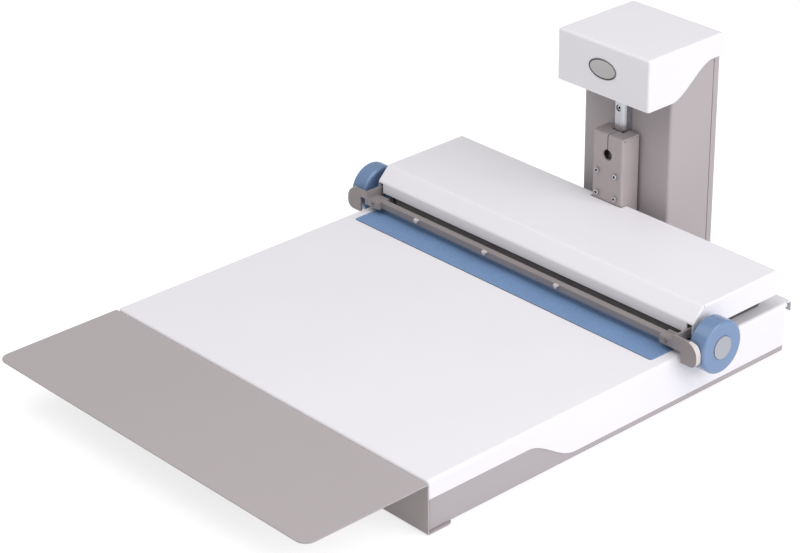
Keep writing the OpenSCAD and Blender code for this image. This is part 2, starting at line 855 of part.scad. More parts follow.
// Right half of the rail's section: base, waist, shoulder and narrower face
function rail_side() =
    let (h = rail_w/2, face = rail_w*0.3, shoulder = h - 0.7, waist = h - 1.5, waist_y = rail_y + 3.2)
    [[h, col_y], [h, waist_y + 0.8], [waist, waist_y], [waist, waist_y - 0.6],
     [shoulder, rail_y + shoulder - face], [face, rail_y]];

module rail_section() {
    side = rail_side();
    polygon(concat(side, [for (i = [len(side) - 1:-1:0]) [-side[i][0], side[i][1]]]));
}

module linear_rail() {
    color(steel) placed() difference() {
        along_z(rail_z0, rail_top) rail_section();
        rail_screw_places() {
            rod_y(0, rail_y - cut, col_y + cut, 0, rail_screw_r);
            rod_y(0, rail_y - cut, rail_y + rail_bore_depth, 0, rail_bore_r);
        }
    }
}

module rail_screws() {
    color(steel) placed() rail_screw_places()
        cap_screw_y(0, rail_y + rail_bore_depth - rail_head_h, 0, rail_head_r, rail_head_h,
                    rail_screw_r, rail_h - rail_bore_depth + col_t + spine_t);
}

module upper_stop_bracket() {
    arm_y = buffer_y - buffer_r;
    color(dark_grey) placed() difference() {
        union() {
            block([-stop_half_w, col_y - stop_plate_t, stop_arm_z],
                  [stop_half_w, col_y, stop_arm_z + stop_plate_up]);
            block([-stop_half_w, arm_y, stop_arm_z],
                  [stop_half_w, col_y, stop_arm_z + stop_plate_t]);
        }
        stop_screw_places() rod_y(0, col_y - stop_plate_t - cut, col_y + cut, 0, rail_screw_r);
    }
}

module stop_screws() {
    color(steel) placed() stop_screw_places()
        cap_screw_y(0, col_y - stop_plate_t - 3, 0, rail_head_r, 3, rail_screw_r,
                    stop_plate_t + col_t + spine_t);
}

module upper_stop_buffer() {
    color(black) placed() translate([0, buffer_y, stop_arm_z - upper_buffer_h])
        cylinder(h = upper_buffer_h, r = buffer_r);
}

module lower_stop_buffers() {
    color(black) placed() both_sides() translate([buffer_x, beam_y0 + beam_d/2, table_h])
        cylinder(h = beam_z0 - table_h - stop_gap, r = buffer_r);
}

// ---- Head ----

module carriage_screw_places() {
    for (x = [-screw_pitch/2, screw_pitch/2], z = [-screw_pitch/2, screw_pitch/2])
        translate([x, 0, carriage_mid + z]) children();
}

module beam_bolt_places() {
    for (x = [-beam_bolt_x, beam_bolt_x]) translate([x, 0, beam_bolt_z]) children();
}

module rail_carriage() {
    low = col_y - carriage_foot_gap;
    color(steel) placed() difference() {
        along_z(carriage_z0, carriage_z0 + carriage_l) difference() {
            soft_rect(-carriage_w/2, carriage_y, carriage_w/2, low, 1);
            translate([-rail_w/2 - rail_gap, rail_y - rail_gap]) square([rail_w + 2*rail_gap, low]);
        }
        carriage_screw_places() rod_y(0, carriage_y - cut, carriage_y + screw_depth, 0, screw_r);
    }
}

// Front plate and top flange in one, as an outline in Y and Z
module bracket_front_section() {
    r = bracket_bend_r;
    t = bracket_t;
    polygon(rounded(
        [[bracket_y, bracket_z0], [bracket_y + t, bracket_z0], [bracket_y + t, bracket_top - t],
         [bracket_rear, bracket_top - t], [bracket_rear, bracket_top], [bracket_y, bracket_top]],
        [0, 0, r - t, 0, 0, r]));
}

// The bracket's plan, shrunk by inset
module bracket_plan(inset) {
    r = bracket_bend_r - inset;
    x = bracket_w/2 - inset;
    rear = bracket_rear + (inset > 0 ? cut : 0);
    polygon(rounded(rect(-x, bracket_y + inset, x, rear), [r, r, 0, 0]));
}

module slide_bracket() {
    side_top = bracket_top - bracket_t - seam_gap;
    relief_y = bracket_y + bracket_bend_r;
    color(grey) placed() difference() {
        union() {
            intersection() {
                along_x(-bracket_w/2, bracket_w/2) bracket_front_section();
                along_z(bracket_z0, bracket_top) bracket_plan(0);
            }
            along_z(bracket_z0, side_top) difference() {
                bracket_plan(0);
                bracket_plan(bracket_t);
            }
        }
        block([-rail_w/2 - rail_slot_gap, rail_y - rail_slot_gap, side_top],
              [rail_w/2 + rail_slot_gap, bracket_rear + cut, bracket_top + cut]);
        rod_y(0, bracket_y - cut, bracket_y + bracket_t + cut, keyhole_z, keyhole_r);
        block([-keyhole_slot_w/2, bracket_y - cut, keyhole_z], [keyhole_slot_w/2, rail_y, bracket_top + cut]);
        carriage_screw_places() rod_y(0, bracket_y - cut, carriage_y + cut, 0, screw_r);
        beam_bolt_places() rod_y(0, bracket_y - cut, carriage_y + cut, 0, bolt_r);
        both_sides() rod_x(bracket_w/2 - bracket_bend_r, bracket_w/2 + cut, relief_y, side_top, relief_r);
    }
}

module carriage_screws() {
    color(steel) placed() carriage_screw_places()
        cap_screw_y(0, bracket_y - screw_head_h, 0, screw_head_r, screw_head_h, screw_r,
                    bracket_t + screw_depth);
}

module frame_bolt_places() {
    for (y = [-frame_bolt_dy, frame_bolt_dy])
        translate([0, beam_y0 + beam_d/2 + y, beam_z0 + beam_h/2]) children();
}

module cross_beam() {
    half = frame_half - frame_t;
    end_t = 8;
    color(dark_grey) placed() difference() {
        along_x(-half, half) soft_rect(beam_y0, beam_z0, bracket_y, beam_z0 + beam_h, 1.5);
        along_x(-half + end_t, half - end_t)
            soft_rect(beam_y0 + beam_t, beam_z0 + beam_t, bracket_y - beam_t, beam_z0 + beam_h - beam_t, 0.5);
        beam_bolt_places() rod_y(0, beam_y0 - cut, bracket_y + cut, 0, bolt_r);
        both_sides() frame_bolt_places() rod_x(half - end_t - cut, half + cut, 0, 0, bolt_r);
    }
}

module beam_bolts() {
    color(steel) placed() beam_bolt_places() {
        rod_y(0, beam_y0 - cut, carriage_y + beam_nut_h, 0, bolt_r);
        translate([0, beam_y0, 0]) rotate([90, 0, 0]) cylinder(h = bolt_head_h, r = bolt_head_r, $fn = 6);
        translate([0, carriage_y + beam_nut_h, 0]) rotate([90, 0, 0])
            cylinder(h = beam_nut_h, r = bolt_head_r, $fn = 6);
    }
}

// Outline of a side frame in Y and Z
function frame_outline() =
    let (top = hood_under, slope_y = hood_y0 + hood_slope_d + frame_slope_gap)
    [[frame_y0, frame_z0], [bracket_y, frame_z0], [bracket_y, top], [slope_y, top],
     [frame_y0, hood_lip_z - frame_slope_gap]];

module side_frame() {
    in_x = frame_half - frame_t;
    flange_z = hood_under - frame_flange_t;
    difference() {
        union() {
            along_x(in_x, frame_half) polygon(rounded(frame_outline(), [2, 4, 0, 0, 1]));
            block([in_x - frame_flange_w, flange_y0, flange_z], [in_x, flange_y1, hood_under]);
        }
        rod_x(in_x - cut, frame_half + cut, shaft_y, shaft_z, bush_r);
        rod_x(in_x - cut, frame_half + cut, pivot_y, pivot_z, pin_root_r);
        frame_bolt_places() rod_x(in_x - cut, frame_half + cut, 0, 0, bolt_r);
        hood_screw_places() translate([0, 0, flange_z - cut])
            cylinder(h = frame_flange_t + 2*cut, r = hood_stud_r);
    }
}

// Two studs on each side frame's top flange
module hood_screw_places() {
    for (y = [flange_y0 + hood_screw_inset, flange_y1 - hood_screw_inset])
        translate([frame_half - frame_t - frame_flange_w/2, y, 0]) children();
}

module side_frame_right() { color(dark_grey) placed() side_frame(); }

module side_frame_left() { color(dark_grey) placed() mirror([1, 0, 0]) side_frame(); }

module frame_screws() {
    color(steel) placed() both_sides() frame_bolt_places() {
        rod_x(frame_half - frame_t - 8, frame_half, 0, 0, bolt_r);
        rod_x(frame_half, frame_half + 2, 0, 0, bolt_head_r);
    }
}

// Outline of the hood's outside in Y and Z; inset gives its inside
function hood_outline(inset, low) =
    let (s = hood_slope_d, rise = hood_top - hood_lip_z, w = norm([s, rise]),
         front = inset*(w - rise)/s, back = inset*(w - s)/rise)
    [[hood_y0 + inset, low], [hood_y1 - inset, low], [hood_y1 - inset, hood_top - inset],
     [hood_y0 + s + back, hood_top - inset], [hood_y0 + inset, hood_lip_z - front]];

module hood() {
    slot_x1 = hood_half_w - hood_t;
    bend = 2;
    inner_bend = bend - hood_t;
    color(white) placed() difference() {
        intersection() {
            along_x(-hood_half_w, hood_half_w)
                polygon(rounded(hood_outline(0, hood_z0), [0, 0, bend, bend, bend]));
            along_y(hood_y0 - cut, hood_y1 + cut) polygon(rounded(
                rect(-hood_half_w, hood_z0, hood_half_w, hood_top), [0, 0, bend, bend]));
        }
        along_x(-slot_x1, slot_x1) polygon(rounded(
            hood_outline(hood_t, hood_z0 - cut), [0, 0, inner_bend, inner_bend, inner_bend]));
        block([-slot_x1, hood_y1 - hood_t - cut, hood_z0 - cut],
              [slot_x1, hood_y1 + cut, hood_top - hood_rear_h]);
        block([-bracket_w/2 - notch_gap, bracket_y - notch_gap, hood_z0 - cut],
              [bracket_w/2 + notch_gap, hood_y1 + cut, hood_top + cut]);
        both_sides() block([slot_inner, hood_y0 - cut, hood_z0 - cut],
                           [slot_x1, hood_y0 + hood_slope_d, slot_top]);
    }
}

module hood_screws() {
    color(steel) placed() both_sides() hood_screw_places() {
        translate([0, 0, hood_under - hood_stud_l]) cylinder(h = hood_stud_l, r = hood_stud_r);
        translate([0, 0, hood_under - frame_flange_t - hood_nut_h])
            cylinder(h = hood_nut_h, r = hood_nut_r, $fn = 6);
    }
}

module shaft_bush() {
    in_x = frame_half - frame_t;
    difference() {
        union() {
            rod_x(in_x - bush_flange_t, in_x, shaft_y, shaft_z, bush_flange_r);
            rod_x(in_x, frame_half + 1, shaft_y, shaft_z, bush_r);
        }
        rod_x(in_x - bush_flange_t - cut, frame_half + 1 + cut, shaft_y, shaft_z, bush_in_r);
    }
}

module shaft_bushes() { color([0.72, 0.55, 0.28]) placed() both_sides() shaft_bush(); }

module pivot_pin() {
    rod_x(frame_half - frame_t, frame_half, pivot_y, pivot_z, pin_root_r);
    rod_x(frame_half, arm_x0 - pin_side_gap, pivot_y, pivot_z, pivot_r + pin_shoulder);
    rod_x(frame_half, pin_head_x, pivot_y, pivot_z, pivot_r);
    rod_x(pin_head_x, hood_half_w - hood_t - pin_hood_gap, pivot_y, pivot_z, pivot_r + pin_shoulder);
}

module pivot_pins() { color(steel) placed() both_sides() pivot_pin(); }

// ---- Nip roller ----

module cross_shaft() {
    color(steel) placed() rod_x(-shaft_end_x, shaft_end_x, shaft_y, shaft_z, shaft_r);
}

module nip_roller() {
    color(black) placed() difference() {
        rod_x(-roller_half, roller_half, shaft_y, shaft_z, roller_r);
        rod_x(-roller_half - cut, roller_half + cut, shaft_y, shaft_z, shaft_r);
    }
}

// Half section of a knob: radius, then distance along the shaft
module knob_section() {
    recess = 3;
    rim = 4;
    e = knob_edge_r;
    polygon(rounded(
        [[shaft_r, -hub_l], [hub_r, -hub_l], [hub_r, recess], [knob_r - rim, recess],
         [knob_r - rim, 0], [knob_r, 0], [knob_r, knob_t], [cap_r, knob_t],
         [cap_r, knob_t - cap_t], [shaft_r, knob_t - cap_t]],
        [0, 0.5, 0, 0, 0.5, e, e, 0, 0, 0]));
}

module knob() {
    translate([knob_in_x, shaft_y, shaft_z]) rotate([0, 90, 0]) rotate_extrude($fn = 96) knob_section();
}

module knob_right() {
    color(blue) placed() difference() {
        knob();
        set_screw_hole();
    }
}

module knob_left() {
    color(blue) placed() mirror([1, 0, 0]) difference() {
        knob();
        set_screw_hole();
    }
}

module set_screw_hole() {
    translate([hub_in_x + hub_l/2, shaft_y, shaft_z + shaft_r]) cylinder(h = hub_r, r = set_screw_r);
}

module knob_cap() {
    translate([knob_out_x - cap_t, shaft_y, shaft_z]) rotate([0, 90, 0]) rotate_extrude($fn = 96)
        polygon(rounded([[0, 0], [cap_r, 0], [cap_r, cap_t + cap_proud], [0, cap_t + cap_proud]],
                        [0, 0, 0.5, 0]));
    rod_x(shaft_end_x, knob_out_x - cap_t, shaft_y, shaft_z, shaft_r);
}

module knob_cap_right() { color([0.75, 0.75, 0.78]) placed() knob_cap(); }

module knob_cap_left() { color([0.75, 0.75, 0.78]) placed() mirror([1, 0, 0]) knob_cap(); }

module knob_set_screws() {
    color(steel) placed() both_sides() translate([hub_in_x + hub_l/2, shaft_y, shaft_z + shaft_r])
        cylinder(h = hub_r - shaft_r - 0.3, r = set_screw_r);
}

// ---- Gauge bar ----

module bar_screw_places() {
    for (x = [-bar_screw_x, bar_screw_x]) translate([x, 0, bar_screw_z]) children();
}

module gauge_bar() {
    color(dark_grey) placed() difference() {
        along_x(-arm_x0, arm_x0) soft_rect(bar_y0, bar_z0, bar_y0 + bar_d, bar_z1, 1);
        bar_screw_places() rod_y(0, bar_y0 - cut, bar_y0 + bar_d + cut, 0, bar_screw_r);
    }
}

// Finger plate with its neck to the arm: outline in X and Z
module finger_outline(neck_z) {
    polygon(rounded(
        [[arm_x0, neck_z], [finger_x0, neck_z], [finger_x0, finger_z0],
         [finger_x1, finger_z0], [finger_x1, arm_z1], [arm_x0, arm_z1]],
        [0, 1, 1.5, finger_low_r, finger_r, 0]));
}

// Rim turned back round the finger plate's outer edge, deepest in front of the knob
module finger_rim() {
    t = finger_t;
    intersection() {
        along_y(lever_y0, rim_y1) difference() {
            finger_outline(bar_z0);
            polygon(rounded(rect(arm_x0 - cut, finger_z0 + t, finger_x1 - t, arm_z1 - t),
                            [0, finger_low_r - t, finger_r - t, 0]));
        }
        along_z(finger_z0 - cut, arm_z1 + cut) polygon(
            [[finger_x1 - finger_r, lever_y0], [finger_x1 + cut, lever_y0], [finger_x1 + cut, rim_y1],
             [finger_x1 - rim_l, rim_y1], [finger_x1 - finger_r, lever_y0 + t]]);
    }
}

module gauge_lever(neck_z) {
    lug_y1 = bar_y0 + bar_d + lug_t;
    difference() {
        union() {
            along_y(lever_y0, lever_y0 + finger_t) finger_outline(neck_z);
            finger_rim();
            block([arm_x0, lever_y0, bar_z0], [arm_x1, lug_y1, arm_z1]);
            block([arm_x0, bar_y0, arm_z0], [arm_x1, pivot_y, arm_z1]);
            block([arm_x0 - tab_w, tab_y0, bar_z0], [arm_x0, bar_y0, bar_z1]);
            block([arm_x0 - tab_w, bar_y0 + bar_d, bar_z0], [arm_x0, lug_y1, bar_z1]);
            rod_x(arm_x0, arm_x1, pivot_y, pivot_z, eye_r);
        }
        rod_x(arm_x0 - cut, arm_x1 + cut, pivot_y, pivot_z, pivot_r + pivot_play);
        bar_screw_places() {
            rod_y(0, tab_y0 - cut, lug_y1 + cut, 0, bar_screw_r);
            rod_y(0, tab_y0 - cut, tab_y0 + bar_screw_head_h, 0, bar_screw_head_r);
        }
    }
}

module gauge_lever_right() { color(grey) placed() gauge_lever(bar_z0); }

// The left lever's neck is notched beside the bar's end
module gauge_lever_left() {
    color(grey) placed() mirror([1, 0, 0]) gauge_lever(bar_z0 + neck_notch_h);
}

module gauge_bar_screws() {
    shank = tab_t + bar_d + lug_t - bar_screw_head_h;
    color(steel) placed() bar_screw_places()
        cap_screw_y(0, tab_y0 + 0.3, 0, bar_screw_head_r, bar_screw_head_h - 0.3, bar_screw_r, shank);
}

module register_finger() {
    along_z(bar_z0 + bar_h - register_t, bar_z0 + bar_h) polygon(rounded(
        [[-register_w/2, bar_y0], [-register_w/4, bar_y0 - register_reach],
         [register_w/4, bar_y0 - register_reach], [register_w/2, bar_y0]], [0, 1, 1, 0]));
    block([-register_w/4, bar_y0 - register_reach + 1, bar_z0 + bar_h/2],
          [register_w/4, bar_y0 - register_reach + 3, bar_z0 + bar_h - register_t]);
}

module register_fingers() {
    color(grey) placed()
        for (i = [-1:1]) translate([register_mid_x + i*register_pitch, 0, 0]) register_finger();
}

chassis_tray();
table_ribs();
feet();
column_feet();
table_top();
work_pad();
extension_leaf();
leaf_screws();
joining_plate();
joining_bolts();
column_shell();
column_rear_cover();
rear_cover_screws();
column_base_plate();
column_spine();
column_top_plate();
head_cover();
head_cover_screws();
blank_oval_plate();
linear_rail();
rail_screws();
upper_stop_bracket();
stop_screws();
upper_stop_buffer();
lower_stop_buffers();
rail_carriage();
slide_bracket();
carriage_screws();
cross_beam();
beam_bolts();
side_frame_left();
side_frame_right();
frame_screws();
hood();
hood_screws();
shaft_bushes();
pivot_pins();
cross_shaft();
nip_roller();
knob_left();
knob_right();
knob_cap_left();
knob_cap_right();
knob_set_screws();
gauge_bar();
gauge_lever_left();
gauge_lever_right();
gauge_bar_screws();
register_fingers();
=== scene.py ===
"""Bench-top sheet mounting machine: its dressed pieces, their finishes, the light and the camera.

Bench sizes are in mm: x across from the middle, y back from the table's front edge, z up from the bench.
"""

import math
from contextlib import contextmanager

import bmesh
import bpy
from mathutils import Matrix, Vector


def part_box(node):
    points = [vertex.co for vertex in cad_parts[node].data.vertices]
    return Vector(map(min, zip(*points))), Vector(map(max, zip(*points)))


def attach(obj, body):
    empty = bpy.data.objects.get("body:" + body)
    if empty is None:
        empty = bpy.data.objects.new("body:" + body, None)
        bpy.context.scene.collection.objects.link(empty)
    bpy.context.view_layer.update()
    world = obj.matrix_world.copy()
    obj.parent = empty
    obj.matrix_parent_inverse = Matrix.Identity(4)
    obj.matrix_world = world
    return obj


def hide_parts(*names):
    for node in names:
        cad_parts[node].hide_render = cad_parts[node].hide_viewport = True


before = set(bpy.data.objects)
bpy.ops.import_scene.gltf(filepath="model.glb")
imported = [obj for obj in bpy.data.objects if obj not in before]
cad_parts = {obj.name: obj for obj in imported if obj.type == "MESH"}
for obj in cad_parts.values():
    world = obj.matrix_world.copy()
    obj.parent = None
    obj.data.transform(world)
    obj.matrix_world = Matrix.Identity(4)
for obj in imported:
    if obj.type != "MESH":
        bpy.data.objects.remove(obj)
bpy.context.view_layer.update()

MM = 0.001
SLACK = 0.02                         # mm that a corner may lie off the place a test names
STRAIGHT = 0.999                     # cosine above which two directions count as the same
HARD_EDGE = math.radians(38)         # a sharper fold than this gets its edge broken
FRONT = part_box("table_top")[0].y

# Places that more than one piece shares, on the bench.
RAIL_SCREWS_Z = (79, 119, 159, 199)
BAR_SCREWS_X, BAR_SCREWS_Z = (-209.25, 209.25), 68
LEAF_SCREWS_X, LEAF_SCREWS_Y, LEAF_HOLE_R = (-180, 0, 180), 15, 2.1
PAN_HEAD_R = 3.8


# ---- Places on the bench ----

def at(x, y, z):
    """The frame's point for a place on the bench."""
    return Vector((x * MM, FRONT + y * MM, z * MM))


def bench(point):
    """The place on the bench for a point of the frame."""
    return Vector((point.x / MM, (point.y - FRONT) / MM, point.z / MM))


def span(node):
    """A CAD node's low and high corners on the bench."""
    low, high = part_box(node)
    return bench(low), bench(high)


def only(piece):
    """Selects just this piece and makes it the active one."""
    bpy.ops.object.select_all(action="DESELECT")
    piece.select_set(True)
    bpy.context.view_layer.objects.active = piece


def settle(piece):
    """Puts the piece's place, turn and size into its mesh."""
    only(piece)
    bpy.ops.object.transform_apply(location=True, rotation=True, scale=True)
    return piece


def newest(name):
    """The piece that the last operator made, with its name."""
    piece = bpy.context.active_object
    piece.name = name
    return piece


def hand(side):
    return "right" if side > 0 else "left"


def axis_of(node):
    """The y and z of the line that runs across through a node's middle."""
    low, high = span(node)
    return (low.y + high.y) / 2, (low.z + high.z) / 2


# ---- Starting shapes ----

def start_box(name, low, high):
    low, high = at(*low), at(*high)
    bpy.ops.mesh.primitive_cube_add(size=1, location=(low + high) / 2)
    piece = newest(name)
    piece.scale = high - low
    return settle(piece)


def start_rod(name, start, end, radius, sides=64, turn=0):
    start, end = at(*start), at(*end)
    axis = end - start
    bpy.ops.mesh.primitive_cylinder_add(
        vertices=sides, radius=radius * MM, depth=axis.length, end_fill_type="NGON",
        location=(start + end) / 2,
        rotation=(axis.to_track_quat("Z", "Y").to_matrix() @ Matrix.Rotation(turn, 3, "Z")).to_euler())
    return settle(newest(name))


def rod_back(name, x, z, from_y, to_y, radius, sides=32):
    """A rod that runs straight back."""
    return start_rod(name, (x, from_y, z), (x, to_y, z), radius, sides)


def rod_across(name, axis, from_x, to_x, radius, sides):
    """A rod that runs across, round an axis given as y and z."""
    return start_rod(name, (from_x, *axis), (to_x, *axis), radius, sides)


def start_leaf(name, corner, along, across):
    """A flat rectangle from one corner and its two sides; it faces along x across."""
    along, across = Vector(along) * MM, Vector(across) * MM
    turned = Matrix((along.normalized(), across.normalized(), along.cross(across).normalized())).transposed()
    bpy.ops.mesh.primitive_plane_add(size=1, location=at(*corner) + (along + across) / 2,
                                     rotation=turned.to_euler())
    piece = newest(name)
    piece.scale = (along.length, across.length, 1)
    return settle(piece)


# ---- Picking and shaping in edit mode ----

@contextmanager
def editing(piece):
    only(piece)
    bpy.ops.object.mode_set(mode="EDIT")
    yield
    bpy.ops.object.mode_set(mode="OBJECT")


def placed(**ranges):
    """A test: all of a part's corners lie at x=, y= or z=, each one number or a pair."""
    def test(part):
        corners = [part] if isinstance(part, bmesh.types.BMVert) else part.verts
        for corner in corners:
            spot = bench(corner.co)
            for axis, wanted in ranges.items():
                low, high = wanted if isinstance(wanted, tuple) else (wanted, wanted)
                if not low - SLACK <= getattr(spot, axis) <= high + SLACK:
                    return False
        return True
    return test


def facing(x, y, z):
    """A test: a face looks that way."""
    way = Vector((x, y, z))
    return lambda face: face.normal.dot(way) > STRAIGHT


def running(x, y, z):
    """A test: an edge runs that way."""
    way = Vector((x, y, z)).normalized()
    return lambda edge: abs((edge.verts[1].co - edge.verts[0].co).normalized().dot(way)) > STRAIGHT


def ringed(axis, radius):
    """A test: all of a part's corners lie at that radius round an axis given as y and z."""
    def test(part):
        spots = [bench(corner.co) for corner in part.verts]
        return all(abs(math.hypot(spot.y - axis[0], spot.z - axis[1]) - radius) < 0.1 for spot in spots)
    return test


def sideways(face):
    """A test: a face looks left or right."""
    return abs(face.normal.x) > 0.99


def pick(kind, *tests):
    """Selects just the vertices, edges or faces that pass every test."""
    bpy.ops.mesh.select_mode(type=kind)
    bpy.ops.mesh.select_all(action="DESELECT")
    shape = bmesh.from_edit_mesh(bpy.context.edit_object.data)
    shape.normal_update()
    for part in {"VERT": shape.verts, "EDGE": shape.edges, "FACE": shape.faces}[kind]:
        if all(test(part) for test in tests):
            part.select_set(True)
    shape.select_flush_mode()
    bmesh.update_edit_mesh(bpy.context.edit_object.data)


def pick_all():
    bpy.ops.mesh.select_all(action="SELECT")


def take_faces(test, kind="ONLY_FACE"):
    """Takes out the faces that pass the test; ONLY_FACE leaves their edges."""
    pick("FACE", test)
    bpy.ops.mesh.delete(type=kind)


def move(x=0, y=0, z=0):
    bpy.ops.transform.translate(value=(x * MM, y * MM, z * MM))


def pull_face(x=0, y=0, z=0):
    bpy.ops.mesh.extrude_region_move(TRANSFORM_OT_translate={"value": (x * MM, y * MM, z * MM)})


def pull_edge(x=0, y=0, z=0):
    bpy.ops.mesh.extrude_edges_move(TRANSFORM_OT_translate={"value": (x * MM, y * MM, z * MM)})


def shrink(centre, x=1, y=1, z=1):
    bpy.ops.transform.resize(value=(x, y, z), center_override=at(*centre))


def fold(radius, steps=5, kind="EDGES"):
    """Rounds the picked edges or corners."""
    bpy.ops.mesh.bevel(offset=radius * MM, segments=steps, profile=0.5, affect=kind, clamp_overlap=False)


def inset(width, depth=0):
    bpy.ops.mesh.inset(thickness=width * MM, depth=depth * MM)


def slice_at(axis, value):
    """Cuts the picked faces across one axis."""
    spot = {"x": (value, 0, 0), "y": (0, value, 0), "z": (0, 0, value)}[axis]
    way = {"x": (1, 0, 0), "y": (0, 1, 0), "z": (0, 0, 1)}[axis]
    bpy.ops.mesh.bisect(plane_co=at(*spot), plane_no=way)


# ---- Whole-piece steps ----

def apply_modifier(piece, kind, **settings):
    only(piece)
    modifier = piece.modifiers.new(kind.lower(), kind)
    for name, value in settings.items():
        setattr(modifier, name, value)
    bpy.ops.object.modifier_apply(modifier=modifier.name)


def thicken(piece, thickness):
    """Gives a sheet its thickness, on the side away from where it faces."""
    apply_modifier(piece, "SOLIDIFY", thickness=thickness * MM, offset=-1,
                   use_even_offset=True, use_quality_normals=True)


def joined(pieces):
    only(pieces[0])
    for piece in pieces[1:]:
        piece.select_set(True)
    if len(pieces) > 1:
        bpy.ops.object.join()
    return pieces[0]


def combine(piece, others, how):
    for other in others:
        apply_modifier(piece, "BOOLEAN", object=other, operation=how, solver="EXACT")
        bpy.data.objects.remove(other, do_unlink=True)


def cut_away(piece, *cutters):
    combine(piece, cutters, "DIFFERENCE")


def twin_of(piece, name):
    only(piece)
    bpy.ops.object.duplicate()
    return newest(name)


def mirrored(piece, name):
    """The left-hand twin in place of a right-hand piece."""
    twin = twin_of(piece, name)
    twin.scale.x = -1
    settle(twin)
    with editing(twin):
        pick_all()
        bpy.ops.mesh.normals_make_consistent(inside=False)
    bpy.data.objects.remove(piece, do_unlink=True)
    return twin


def repeated(name, template, spots):
    """The template copied to every spot, given as shifts from its own place, joined into one piece."""
    copies = []
    for shift in spots:
        copies.append(twin_of(template, name))
        copies[-1].location = Vector(shift) * MM
        settle(copies[-1])
    bpy.data.objects.remove(template, do_unlink=True)
    piece = joined(copies)
    piece.name = name
    return piece


def merged_copy(node, name):
    """A copy of a CAD node with its loose triangles joined and its flat faces made whole."""
    piece = twin_of(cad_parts[node], name)
    piece.parent = None
    for key in [k for k in piece.keys() if k.startswith("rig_")]:
        del piece[key]
    with editing(piece):
        pick_all()
        bpy.ops.mesh.remove_doubles(threshold=0.002 * MM)
        bpy.ops.mesh.customdata_custom_splitnormals_clear()
        pick_all()
        bpy.ops.mesh.dissolve_limited(angle_limit=math.radians(1))
    return piece


def break_edges(piece, width, steps=2):
    apply_modifier(piece, "BEVEL", width=width * MM, segments=steps, limit_method="ANGLE",
                   angle_limit=HARD_EDGE, use_clamp_overlap=True)


def dress(piece, body, finish, cad_node, edge=0.3, steps=2):
    """Breaks the piece's sharp edges, smooths it, gives it its finish, ties it to its body and hides its CAD
    node.
    """
    if edge:
        break_edges(piece, edge, steps)
    only(piece)
    bpy.ops.object.shade_smooth_by_angle(angle=math.radians(32))
    apply_modifier(piece, "WEIGHTED_NORMAL", mode="FACE_AREA", weight=50, keep_sharp=True)
    piece.data.materials.clear()
    piece.data.materials.append(finish)
    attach(piece, body)
    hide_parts(cad_node)


def second_finish(piece, finish, test):
    """Gives another finish to the faces that pass the test of their middle (bench mm) and normal."""
    piece.data.materials.append(finish)
    for face in piece.data.polygons:
        if test(bench(face.center), face.normal):
            face.material_index = 1


# ---- Shared effects, each a node group ----

def new_group(name, takes, gives):
    """A node group; the two strings name its inputs and its outputs, numbers but for Vector and Colour."""
    tree = bpy.data.node_groups.new(name, "ShaderNodeTree")
    for way, labels in (("INPUT", takes), ("OUTPUT", gives)):
        for label in labels.split():
            kind = {"Vector": "Vector", "Colour": "Color"}.get(label, "Float")
            tree.interface.new_socket(name=label, in_out=way, socket_type="NodeSocket" + kind)
    return tree, tree.nodes.new("NodeGroupInput").outputs, tree.nodes.new("NodeGroupOutput").inputs


def node(tree, kind, values=None, **settings):
    """A node with its settings and its input values or links."""
    made = tree.nodes.new("ShaderNode" + kind)
    for name, value in settings.items():
        setattr(made, name, value)
    for label, value in (values or {}).items():
        if isinstance(value, bpy.types.NodeSocket):
            tree.links.new(value, made.inputs[label])
        else:
            made.inputs[label].default_value = value
    return made


def maths(tree, operation, *values, clamp=False):
    return node(tree, "Math", dict(enumerate(values)), operation=operation, use_clamp=clamp).outputs[0]


def spread(tree, value, low, high, to_low=0.0, to_high=1.0):
    """Maps a value's range onto another."""
    return node(tree, "MapRange", {"Value": value, "From Min": low, "From Max": high,
                                   "To Min": to_low, "To Max": to_high}).outputs["Result"]


def noise(tree, vector, scale, detail, roughness=0.5):
    return node(tree, "TexNoise", {"Vector": vector, "Scale": scale, "Detail": detail,
                                   "Roughness": roughness}).outputs


def swung(tree, value, swing, rest, clamp=False):
    """Turns a value about 0.5 into a swing about a rest."""
    change = maths(tree, "MULTIPLY", maths(tree, "SUBTRACT", value, 0.5), swing)
    return maths(tree, "ADD", change, rest, clamp=clamp)


def tone_drift_group():
    """Slow changes of tone over a surface."""
    tree, takes, gives = new_group("tone_drift", "Vector Colour Patch Amount", "Colour")
    patches = spread(tree, noise(tree, takes["Vector"], takes["Patch"], 3.0, 0.55)["Fac"], 0.3, 0.7)
    level = node(tree, "HueSaturation", {"Color": takes["Colour"],
                                         "Value": swung(tree, patches, takes["Amount"], 1.0)})
    tree.links.new(level.outputs["Color"], gives["Colour"])
    return tree


def coat_peel_group():
    """The fine orange peel of a powder coat, with its scattered glints."""
    tree, takes, gives = new_group("coat_peel", "Vector Size Roughness Swing", "Height Roughness")
    broad = noise(tree, takes["Vector"], takes["Size"], 2.0)["Fac"]
    fine = node(tree, "TexVoronoi", {"Vector": takes["Vector"],
                                     "Scale": maths(tree, "MULTIPLY", takes["Size"], 2.3)},
                feature="SMOOTH_F1")
    height = maths(tree, "ADD", maths(tree, "MULTIPLY", broad, 0.7),
                   maths(tree, "MULTIPLY", fine.outputs["Distance"], 0.3))
    tree.links.new(height, gives["Height"])
    tree.links.new(swung(tree, broad, takes["Swing"], takes["Roughness"], True), gives["Roughness"])
    return tree


def grind_lines_group():
    """Fine parallel lines; the stretched vector gives their direction."""
    tree, takes, gives = new_group("grind_lines", "Vector Size Roughness Swing", "Height Roughness Mask")
    lines = noise(tree, takes["Vector"], takes["Size"], 5.0, 0.65)["Fac"]
    mask = spread(tree, lines, 0.3, 0.7)
    tree.links.new(lines, gives["Height"])
    tree.links.new(swung(tree, mask, takes["Swing"], takes["Roughness"], True), gives["Roughness"])
    tree.links.new(mask, gives["Mask"])
    return tree


